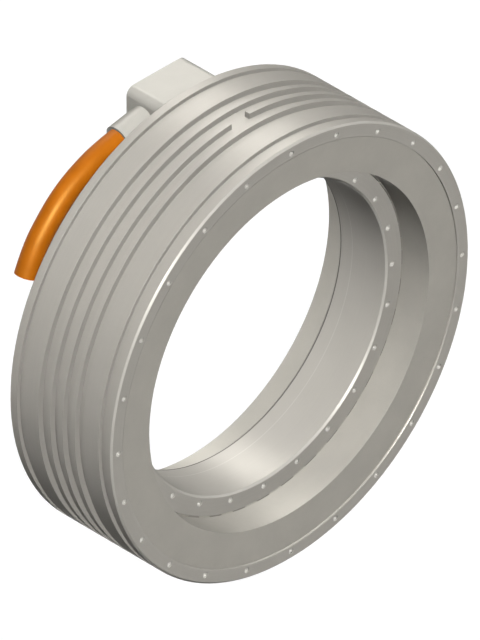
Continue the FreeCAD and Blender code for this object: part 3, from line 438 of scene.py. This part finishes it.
def plated_steel(name, colour, grain):
    """Plated steel, zinc or nickel: an even metallic grey with a fine crystalline sparkle.

    The crystals are too fine to show, a few hundredths of a millimetre, so they are drawn as wide as grain.
    """
    material, tree, surface = new_material(name)
    place = add_node(tree, "ShaderNodeTexCoord").outputs["Object"]
    crystals = add_node(
        tree, "ShaderNodeTexNoise", {"Scale": 1 / grain, "Detail": 2.0, "Roughness": 0.5},
        {"Vector": place}).outputs["Fac"]
    cover_with(
        tree, surface, colour, (crystals, 0.9, 1.06), (crystals, 0.3, 0.42), (crystals, 0.04 * MILLIMETRE),
        metal=0.6)
    return material


def tapped_metal(name, colour):
    """Freshly tapped metal: brighter than the turned faces, with tiny tears left by the tap.

    The tears are 0.1 mm across and drawn 0.4 mm across, so that they show. The light colour is in part
    painted light in the holes.
    """
    material, tree, surface = new_material(name)
    place = add_node(tree, "ShaderNodeTexCoord").outputs["Object"]
    tears = add_node(
        tree, "ShaderNodeTexNoise", {"Scale": 1 / (0.4 * MILLIMETRE), "Detail": 2.0, "Roughness": 0.6},
        {"Vector": place}).outputs["Fac"]
    cover_with(
        tree, surface, colour, (tears, 0.9, 1.05), (tears, 0.4, 0.5), (tears, 0.03 * MILLIMETRE), metal=0.07,
        shine=0.2)
    return material


def moulded_plastic(name, colour, grain, rough, shine=0.5):
    """Moulded or extruded plastic, rubber or fibre: one even colour, a fine skin texture and soft gloss.

    The skin's texture is 0.1 mm across. That is too fine to show, so it is drawn as wide as grain.
    """
    material, tree, surface = new_material(name)
    place = add_node(tree, "ShaderNodeTexCoord").outputs["Object"]
    skin = add_node(
        tree, "ShaderNodeTexNoise", {"Scale": 1 / grain, "Detail": 3.0, "Roughness": 0.55},
        {"Vector": place}).outputs["Fac"]
    cloud = add_node(
        tree, "ShaderNodeTexNoise", {"Scale": 1 / (14 * MILLIMETRE), "Detail": 3.0},
        {"Vector": place}).outputs["Fac"]
    cover_with(
        tree, surface, colour, (cloud, 0.94, 1.04), (skin, rough - 0.05, rough + 0.05),
        (skin, 0.06 * MILLIMETRE), shine=shine)
    return material


def woven_laminate(name, colour):
    """Glass-fibre laminate: a pale resin over a plain weave of glass yarn, 1 mm from yarn to yarn."""
    material, tree, surface = new_material(name)
    place = add_node(tree, "ShaderNodeTexCoord").outputs["Object"]
    weave = add_node(
        tree, "ShaderNodeTexChecker",
        {"Scale": 1 / MILLIMETRE, "Color1": opaque((1, 1, 1)), "Color2": opaque((0, 0, 0))},
        {"Vector": place}).outputs["Fac"]
    cover_with(
        tree, surface, colour, (weave, 0.92, 1.05), (weave, 0.4, 0.5), (weave, 0.05 * MILLIMETRE), shine=0.4)
    return material


def cable_sheath(name, colour):
    """Polyurethane cable sheath, extruded: saturated orange, half matt, with a faint orange peel.

    The orange peel is 0.3 mm across and drawn 2 mm across, so that it shows.
    """
    material, tree, surface = new_material(name)
    place = add_node(tree, "ShaderNodeTexCoord").outputs["Object"]
    peel = add_node(
        tree, "ShaderNodeTexNoise", {"Scale": 1 / (2 * MILLIMETRE), "Detail": 2.0, "Roughness": 0.5},
        {"Vector": place}).outputs["Fac"]
    cloud = add_node(
        tree, "ShaderNodeTexNoise", {"Scale": 1 / (16 * MILLIMETRE), "Detail": 4.0},
        {"Vector": place}).outputs["Fac"]
    cover_with(
        tree, surface, colour, (cloud, 0.9, 1.06), (cloud, 0.44, 0.54), (peel, 0.06 * MILLIMETRE), shine=0.19,
        tint=(1.0, 0.62, 0.17))
    return material


def assign(piece, material):
    """Gives a piece its one material. The photograph's light is flat, so a piece throws none on another."""
    piece.data.materials.clear()
    piece.data.materials.append(material)
    piece.visible_diffuse = False


def new_piece(name, bm, material, body, smooth=True):
    """A mesh object on its body, made from a finished bmesh."""
    bmesh.ops.recalc_face_normals(bm, faces=bm.faces)
    for face in bm.faces:
        face.smooth = smooth
    mesh = bpy.data.meshes.new(name)
    bm.to_mesh(mesh)
    bm.free()
    piece = bpy.data.objects.new(name, mesh)
    bpy.context.scene.collection.objects.link(piece)
    assign(piece, material)
    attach(piece, body)
    return piece


def add_ring(bm, segments, radius, height):
    """A circle of edges round the Z axis at a height."""
    verts = bmesh.ops.create_circle(
        bm, cap_ends=False, segments=segments, radius=radius,
        matrix=Matrix.Translation((0, 0, height)))["verts"]
    return [edge for edge in bm.edges if edge.verts[0] in verts and edge.verts[1] in verts]


def add_lathed(bm, outline, segments):
    """A wall turned round the Z axis through (radius, height) pairs, closed at its first ring.

    Gives the edges of its last ring, which is open.
    """
    rings = [add_ring(bm, segments, radius, height) for radius, height in outline]
    for lower, upper in zip(rings, rings[1:]):
        bmesh.ops.bridge_loops(bm, edges=lower + upper)
    bmesh.ops.edgeloop_fill(bm, edges=rings[0])
    return rings[-1]


def make_rod(radius, chamfer, bottom, shoulder, top, segments):
    """A rod round the Z axis, from the height bottom to top, whose chamfer starts at the height shoulder."""
    bm = bmesh.new()
    outline = [(radius, bottom), (radius, shoulder), (radius - chamfer, top)]
    bmesh.ops.edgeloop_fill(bm, edges=add_lathed(bm, outline, segments))
    return bm


def repeat_at(template, places):
    """One bmesh with a copy of the template at each place."""
    mesh = bpy.data.meshes.new("template")
    template.to_mesh(mesh)
    template.free()
    bm = bmesh.new()
    for place in places:
        known = len(bm.verts)
        bm.from_mesh(mesh)
        bm.verts.ensure_lookup_table()
        bmesh.ops.transform(bm, matrix=place, verts=bm.verts[known:])
    bpy.data.meshes.remove(mesh)
    return bm


class TORQUEMOTOR_OT_stage(Operator):
    """Sets up the camera of the photograph, the pale floor, the world and the soft lamps"""

    bl_idname = "torquemotor.stage"
    bl_label = "Stage"

    # Directions from the motor to the key light and to the sheen light.
    KEY = Vector((-0.368, -0.491, 0.789))
    SHEEN = Vector((0.514, 0.577, 0.634))
    # Half the floor's side in metres, the share of the floor that glows, and how strongly it glows.
    FLOOR_REACH, GLOW_SHARE, GLOW = 15, 0.6, 1.15

    def execute(self, context):
        _, colours, stage = settings()
        scene = context.scene
        scene.view_settings.view_transform = "Standard"
        back = self.add_camera(scene, stage)
        self.add_floor(scene, colours)
        self.add_world(scene, stage)
        shadowed = stage.key_strength * stage.shadow_share
        flat = stage.key_strength - shadowed
        self.add_sun("key_light", self.KEY, shadowed, spread=18, glossy=False, shadow=True)
        self.add_sun("key_fill", self.KEY, flat, spread=18, glossy=False)
        self.add_sun("back_light", -back, stage.back_strength, spread=25)
        self.add_sun("sheen_light", self.SHEEN, stage.sheen_strength, spread=25, diffuse=False)
        self.add_sun("edge_light", back, stage.edge_strength, spread=15, diffuse=False)
        return {"FINISHED"}

    def add_camera(self, scene, stage):
        """The camera of the photograph. Gives the direction from the motor back to the camera."""
        azimuth, elevation = stage.camera_azimuth, stage.camera_elevation
        back = Vector((
            math.sin(azimuth) * math.cos(elevation), -math.cos(azimuth) * math.cos(elevation),
            math.sin(elevation)))
        turn = (-back).to_track_quat("-Z", "Y")
        right, up = turn @ Vector((1, 0, 0)), turn @ Vector((0, 1, 0))
        aside = (PHOTO_WIDTH / 2 - PHOTO_ORIGIN_X) * stage.pixel_size
        above = (PHOTO_ORIGIN_Y - PHOTO_HEIGHT / 2) * stage.pixel_size
        data = bpy.data.cameras.new("photo_camera")
        data.sensor_width = 36
        data.lens = data.sensor_width * stage.camera_distance / (PHOTO_HEIGHT * stage.pixel_size)
        data.clip_end = 2 * stage.camera_distance
        camera = bpy.data.objects.new("photo_camera", data)
        camera.rotation_mode = "QUATERNION"
        camera.rotation_quaternion = turn
        camera.location = right * aside + up * above + back * stage.camera_distance
        scene.collection.objects.link(camera)
        scene.camera = camera
        return back

    def add_floor(self, scene, colours):
        """A floor that glows enough to show white, keeps a soft shadow and throws no light on the motor."""
        bm = bmesh.new()
        bmesh.ops.create_grid(bm, x_segments=1, y_segments=1, size=self.FLOOR_REACH)
        bmesh.ops.translate(bm, vec=(0, 0, cad_low.z), verts=bm.verts)
        mesh = bpy.data.meshes.new("studio_floor")
        bm.to_mesh(mesh)
        bm.free()
        floor = bpy.data.objects.new("studio_floor", mesh)
        scene.collection.objects.link(floor)
        material, tree, surface = new_material("studio_floor")
        matt = add_node(tree, "ShaderNodeBsdfDiffuse", {"Color": opaque(colours.floor)})
        glow = add_node(tree, "ShaderNodeEmission", {"Color": opaque(colours.floor), "Strength": self.GLOW})
        both = add_node(
            tree, "ShaderNodeMixShader", {0: self.GLOW_SHARE}, {1: matt.outputs[0], 2: glow.outputs[0]})
        tree.links.new(both.outputs[0], surface)
        assign(floor, material)

    def add_world(self, scene, stage):
        """Faint light from all round, with a white background for the rays that show it."""
        world = bpy.data.worlds.new("studio")
        scene.world = world
        world.use_nodes = True
        tree = world.node_tree
        tree.nodes.clear()
        level = add_node(
            tree, "ShaderNodeMapRange", {"To Min": stage.ambient, "To Max": 1.0},
            {"Value": self.background_rays(tree)})
        sky = add_node(
            tree, "ShaderNodeBackground", {"Color": opaque((1, 1, 1))}, {"Strength": level.outputs["Result"]})
        output = tree.nodes.new("ShaderNodeOutputWorld")
        tree.links.new(sky.outputs[0], output.inputs["Surface"])

    def background_rays(self, tree):
        """1 for the rays that show the background: from the camera, off gloss and through glass."""
        path = add_node(tree, "ShaderNodeLightPath").outputs
        seen = path["Is Camera Ray"]
        for kind in ("Is Glossy Ray", "Is Transmission Ray"):
            seen = add_node(
                tree, "ShaderNodeMath", links={0: seen, 1: path[kind]}, operation="MAXIMUM").outputs[0]
        return seen

    def add_sun(self, name, towards, strength, spread, diffuse=True, glossy=True, shadow=False):
        """A distant lamp in the direction towards. spread is its width in degrees."""
        data = bpy.data.lights.new(name, "SUN")
        data.energy = strength
        data.angle = math.radians(spread)
        data.use_shadow = shadow
        lamp = bpy.data.objects.new(name, data)
        lamp.rotation_mode = "QUATERNION"
        lamp.rotation_quaternion = towards.to_track_quat("Z", "Y")
        lamp.visible_diffuse = diffuse
        lamp.visible_glossy = glossy
        bpy.context.scene.collection.objects.link(lamp)


class TORQUEMOTOR_OT_stator(Operator):
    """Finishes the jacket, the laminated core with its windings, and the cast resin"""

    bl_idname = "torquemotor.stator"
    bl_label = "Stator"

    def execute(self, context):
        sizes, colours, _ = settings()
        resin = cast_resin("cast_resin", colours.resin, sizes.edge_break)
        enamel = wound_copper("enamelled_wire", colours.enamel)
        copper = bare_copper("bare_copper", colours.copper)
        resin_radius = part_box("front_resin")[1].x
        assign(nodes["cooling_jacket"], turned_metal(
            "turned_aluminium", colours.jacket, colours.cut_edge_and_highlight, SATIN, sizes.tool_mark, sizes.edge_break,
            worn_edge=(resin_radius, sizes.rim_break)))
        assign(nodes["stator_core"], laminated_steel("laminated_steel", colours.lamination))
        assign(nodes["slot_wedges"], woven_laminate("glass_laminate", colours.laminate))
        assign(nodes["temperature_sensors"], moulded_plastic(
            "sensor_nylon", colours.nylon, grain=0.8 * MILLIMETRE, rough=0.5))
        for name in ("front_resin", "rear_resin"):
            assign(nodes[name], resin)
        for name in ("coils_phase_u", "coils_phase_v", "coils_phase_w"):
            assign(nodes[name], enamel)
        for name in ("connection_ring_u", "connection_ring_v", "connection_ring_w", "star_ring", "lead_bars"):
            assign(nodes[name], copper)
        return {"FINISHED"}


class TORQUEMOTOR_OT_rotor(Operator):
    """Finishes the rotor's steel ring, its magnets and their cover"""

    bl_idname = "torquemotor.rotor"
    bl_label = "Rotor"

    # How far the bore's line of painted shade lies in front of the rear face, and the pale line in front of
    # it.
    DARK_LINE, PALE_LINE = 2 * MILLIMETRE, 12.3 * MILLIMETRE
    # Share of metal in the shading of a fresh cut in steel.
    CUT_STEEL = 0.1

    def execute(self, context):
        sizes, colours, _ = settings()
        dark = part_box("rotor_ring")[1].y - self.DARK_LINE
        # The dark line is painted shade, drawn where the bore meets its rear chamfer. The pale line is a faint
        # pale ring.
        lines = [
            Line(dark, half_width=0.45 * MILLIMETRE, strength=0.8, colour=colours.painted_shade_line),
            Line(dark - self.PALE_LINE, half_width=0.4 * MILLIMETRE, strength=0.22, colour=colours.pale_line)]
        plating = plated_steel("nickel_plating", colours.magnet, grain=0.8 * MILLIMETRE)
        assign(nodes["rotor_ring"], turned_metal(
            "turned_steel", colours.rotor, colours.cut_edge_and_highlight, self.CUT_STEEL, sizes.tool_mark,
            sizes.edge_break, bore_lines=lines))
        assign(nodes["magnet_cover"], cast_resin("rotor_resin", colours.rotor, sizes.edge_break))
        for name in ("magnets_north", "magnets_south"):
            assign(nodes[name], plating)
        return {"FINISHED"}


class TORQUEMOTOR_OT_threads(Operator):
    """Cuts the threads of the bolt holes in the stator's and the rotor's front faces"""

    bl_idname = "torquemotor.threads"
    bl_label = "Threads"

    # Facets of a turn of thread.
    STEPS = 16
    # Depth to which a ridge's base is sunk in the hole's wall.
    SUNK = 0.05 * MILLIMETRE
    # Where a ridge's base ends and where its crest starts and ends, as shares of the pitch.
    BASE_END, CREST_START, CREST_END = 0.9, 0.34, 0.56

    def execute(self, context):
        sizes, colours, _ = settings()
        # The threads' light colour is in part painted light in the holes.
        metal = tapped_metal("tapped_metal", colours.thread)
        for name, mount, body, slot in (
            ("stator_hole_threads", "stator_bolts", "stator", "jacket_metal"),
            ("rotor_hole_threads", "rotor_bolts", "rotor", "rotor_steel"),
        ):
            dims = mounts[mount]["dims"]
            bolt_circle = dims["pcd_mm"] / 2 * MILLIMETRE
            thread = self.cut_thread(sizes, dims["hole_r_mm"] * MILLIMETRE)
            face = Matrix.Translation(mounts[mount]["pos_m"]) @ Matrix.Rotation(math.radians(-90), 4, "X")
            places = [
                face @ Matrix.Rotation(hole * math.tau / dims["count"], 4, "Z")
                @ Matrix.Translation((bolt_circle, 0, 0)) for hole in range(dims["count"])]
            new_piece(name, repeat_at(thread, places), metal, body)
        return {"FINISHED"}

    def cut_thread(self, sizes, hole_radius):
        """One helical ridge round the Z axis, its base sunk in the hole's wall."""
        bm = bmesh.new()
        base, crest = hole_radius + self.SUNK, hole_radius - sizes.thread_depth
        start, pitch = sizes.thread_lead_in, sizes.thread_pitch
        corners = ((base, 0), (base, self.BASE_END), (crest, self.CREST_END), (crest, self.CREST_START))
        profile = [bm.verts.new((radius, 0, start + share * pitch)) for radius, share in corners]
        edges = [bm.edges.new((one, other)) for one, other in zip(profile, profile[1:] + profile[:1])]
        swept = bmesh.ops.spin(
            bm, geom=profile + edges, cent=(0, 0, 0), axis=(0, 0, 1), dvec=(0, 0, pitch / self.STEPS),
            angle=math.tau * sizes.thread_turns, steps=self.STEPS * sizes.thread_turns)
        last = [part for part in swept["geom_last"] if isinstance(part, bmesh.types.BMEdge)]
        bmesh.ops.edgeloop_fill(bm, edges=edges)
        bmesh.ops.edgeloop_fill(bm, edges=last)
        return bm


class TORQUEMOTOR_OT_box(Operator):
    """Finishes the connection box and gives its cover domed socket screws"""

    bl_idname = "torquemotor.box"
    bl_label = "Connection box"

    # Facets round a screw, and sides of its socket.
    SEGMENTS, SIDES = 24, 6
    # How far each screw is turned, in radians.
    TURNS = (0.2, 0.7, 0.5, 0.9)
    # A screw's head from its seat to its socket, as shares of its radius and of its height.
    DOME = ((1, 0), (1, 0.15), (0.94, 0.45), (0.8, 0.75), (0.62, 0.93), (0.48, 1))
    # Depth of a screw's socket, as a share of the head's height.
    SOCKET_DEPTH = 0.65
    # The chamfer at a screw's tip: its height, and its end's share of the shank's radius.
    TIP_HEIGHT, TIP_SHARE = 0.3 * MILLIMETRE, 0.8

    def execute(self, context):
        sizes, colours, _ = settings()
        blasted = blasted_metal("blasted_aluminium", colours.box, sizes.blast_grain, sizes.edge_break)
        zinc = plated_steel("zinc_plating", colours.screw, grain=0.6 * MILLIMETRE)
        for name in ("connection_box", "box_cover", "cable_sleeve"):
            assign(nodes[name], blasted)
        assign(nodes["box_gasket"], moulded_plastic(
            "nitrile_rubber", colours.rubber, grain=0.6 * MILLIMETRE, rough=0.7, shine=0.3))
        assign(nodes["terminal_block"], moulded_plastic(
            "moulded_nylon", colours.nylon, grain=1.0 * MILLIMETRE, rough=0.45))
        assign(nodes["box_screws"], zinc)
        low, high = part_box("cover_screws")
        head = sizes.screw_head / 2
        seat = high.y - sizes.screw_head_height
        corners = [(x, z) for z in (low.z + head, high.z - head) for x in (low.x + head, high.x - head)]
        places = [
            Matrix.Translation((x, seat, z)) @ Matrix.Rotation(math.radians(-90), 4, "X")
            @ Matrix.Rotation(turn, 4, "Z") for (x, z), turn in zip(corners, self.TURNS)]
        screws = repeat_at(self.make_screw(sizes), places)
        piece = new_piece("cover_socket_screws", screws, zinc, "stator", smooth=False)
        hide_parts("cover_screws")
        return {"FINISHED"}

    def make_screw(self, sizes):
        """A domed screw round the Z axis, head up, with a six-sided socket."""
        bm = bmesh.new()
        head, height = sizes.screw_head / 2, sizes.screw_head_height
        shank, tip = sizes.screw_shank / 2, -sizes.screw_length
        outline = [(self.TIP_SHARE * shank, tip), (shank, tip + self.TIP_HEIGHT), (shank, 0)]
        outline += [(share * head, level * height) for share, level in self.DOME]
        rim = add_lathed(bm, outline, self.SEGMENTS)
        sides = add_ring(bm, self.SIDES, sizes.screw_socket / math.sqrt(3), height)
        split = bmesh.ops.subdivide_edges(bm, edges=sides, cuts=self.SEGMENTS // self.SIDES - 1)["geom"]
        mouth = [part for part in split if isinstance(part, bmesh.types.BMEdge)]
        bmesh.ops.bridge_loops(bm, edges=rim + mouth)
        walls = bmesh.ops.extrude_edge_only(bm, edges=mouth)["geom"]
        bottom = [part for part in walls if isinstance(part, bmesh.types.BMVert)]
        floor = [part for part in walls if isinstance(part, bmesh.types.BMEdge)]
        bmesh.ops.translate(bm, vec=(0, 0, -self.SOCKET_DEPTH * height), verts=bottom)
        bmesh.ops.edgeloop_fill(bm, edges=floor)
        return bm


class TORQUEMOTOR_OT_cable(Operator):
    """Lays the power cable along its route and makes its cut end"""

    bl_idname = "torquemotor.cable"
    bl_label = "Power cable"

    # Fineness of the sheath's curve round and along it.
    ROUND_STEPS, LONG_STEPS = 10, 24
    # How deep the cut end's rods reach into the sheath, and the height that the filler stands out of it.
    REACH, PROUD = 2 * MILLIMETRE, 0.25 * MILLIMETRE
    # Room between two cores.
    CORE_GAP = 0.1 * MILLIMETRE
    # Spacing of a core's strands, as a share of their thickness.
    STRAND_SPACING = 1.01
    CORES = 4
    # Strands round the one in the middle of a core.
    OUTER_STRANDS = 6

    def execute(self, context):
        sizes, colours, _ = settings()
        low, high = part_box("cable_sleeve")
        depth = (low.y + high.y) / 2
        route = [Vector((x, depth, z)) for x, z in CABLE_ROUTE]
        cable = self.lay_sheath(context, sizes, route)
        assign(cable, cable_sheath("cable_sheath", colours.sheath))
        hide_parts("power_cable")
        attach(cable, "stator")
        black = moulded_plastic("core_insulation", colours.core_sheath, grain=0.6 * MILLIMETRE, rough=0.4)
        assign(nodes["cable_cores"], black)
        along = (route[-1] - route[-2]).normalized()
        end = Matrix.Translation(route[-1]) @ along.to_track_quat("Z", "Y").to_matrix().to_4x4()
        pieces = self.make_end(sizes, colours, end, black)
        return {"FINISHED"}

    def lay_sheath(self, context, sizes, route):
        """The sheath, as a curve along the route's points."""
        curve = bpy.data.curves.new("power_cable_sheath", "CURVE")
        curve.dimensions = "3D"
        curve.bevel_depth = sizes.cable_diameter / 2
        curve.bevel_resolution = self.ROUND_STEPS
        curve.resolution_u = self.LONG_STEPS
        curve.use_fill_caps = True
        spline = curve.splines.new("NURBS")
        spline.points.add(len(route) - 1)
        for point, place in zip(spline.points, route):
            point.co = (*place, 1)
        spline.order_u = 3
        spline.use_endpoint_u = True
        cable = bpy.data.objects.new("power_cable_sheath", curve)
        context.scene.collection.objects.link(cable)
        return cable

    def make_end(self, sizes, colours, end, black):
        """The cut end: filler inside the sheath, four cores and their copper strands, each a little proud."""
        bore = sizes.cable_diameter / 2 - sizes.sheath_wall
        core = sizes.core_diameter / 2
        strand = sizes.strand_diameter / 2
        filler_rod = make_rod(
            bore, chamfer=0.3 * MILLIMETRE, bottom=-self.REACH, shoulder=0.6 * self.PROUD, top=self.PROUD,
            segments=40)
        core_rod = make_rod(
            core, chamfer=0.2 * MILLIMETRE, bottom=-self.REACH, shoulder=1.8 * self.PROUD,
            top=2.4 * self.PROUD, segments=20)
        strand_rod = make_rod(
            strand, chamfer=0.4 * strand, bottom=-self.REACH, shoulder=3.2 * self.PROUD, top=4 * self.PROUD,
            segments=10)
        core_circle = core * math.sqrt(2) + self.CORE_GAP
        cores = [
            end @ Matrix.Rotation(place * math.tau / self.CORES, 4, "Z")
            @ Matrix.Translation((core_circle, 0, 0)) for place in range(self.CORES)]
        strand_circle = self.STRAND_SPACING * sizes.strand_diameter
        bundle = [Matrix()] + [
            Matrix.Rotation(place * math.tau / self.OUTER_STRANDS, 4, "Z")
            @ Matrix.Translation((strand_circle, 0, 0)) for place in range(self.OUTER_STRANDS)]
        strands = [core_place @ place for core_place in cores for place in bundle]
        filler = moulded_plastic(
            "cotton_filler", colours.filler, grain=0.8 * MILLIMETRE, rough=0.8, shine=0.2)
        copper = bare_copper("copper_strands", colours.copper)
        return [
            new_piece(name, repeat_at(rod, places), material, "stator", smooth=False)
            for name, rod, places, material, slot in (
                ("cable_end_filler", filler_rod, [end], filler, "insulation"),
                ("cable_end_cores", core_rod, cores, black, "core_sheath"),
                ("cable_end_strands", strand_rod, strands, copper, "winding_copper"))]


class TORQUEMOTOR_PT_panel(Panel):
    """Lists the steps that finish the motor"""

    bl_label = "Torque Motor"
    bl_idname = "TORQUEMOTOR_PT_panel"
    bl_space_type = "VIEW_3D"
    bl_region_type = "UI"
    bl_category = "Torque Motor"

    def draw(self, context):
        for operator in OPERATORS:
            self.layout.operator(operator.bl_idname)


GROUPS = (TorqueMotorSizes, TorqueMotorColours, TorqueMotorStage)
OPERATORS = (
    TORQUEMOTOR_OT_stage,
    TORQUEMOTOR_OT_stator,
    TORQUEMOTOR_OT_rotor,
    TORQUEMOTOR_OT_threads,
    TORQUEMOTOR_OT_box,
    TORQUEMOTOR_OT_cable,
)


def register():
    for cls in (*GROUPS, *OPERATORS, TORQUEMOTOR_PT_panel):
        bpy.utils.register_class(cls)
    bpy.types.Scene.torque_motor_sizes = PointerProperty(type=TorqueMotorSizes)
    bpy.types.Scene.torque_motor_colours = PointerProperty(type=TorqueMotorColours)
    bpy.types.Scene.torque_motor_stage = PointerProperty(type=TorqueMotorStage)


def unregister():
    del bpy.types.Scene.torque_motor_sizes
    del bpy.types.Scene.torque_motor_colours
    del bpy.types.Scene.torque_motor_stage
    for cls in reversed((*GROUPS, *OPERATORS, TORQUEMOTOR_PT_panel)):
        bpy.utils.unregister_class(cls)


def main():
    register()
    bpy.ops.torquemotor.stage()
    bpy.ops.torquemotor.stator()
    bpy.ops.torquemotor.rotor()
    bpy.ops.torquemotor.threads()
    bpy.ops.torquemotor.box()
    bpy.ops.torquemotor.cable()


if __name__ == "__main__":
    main()
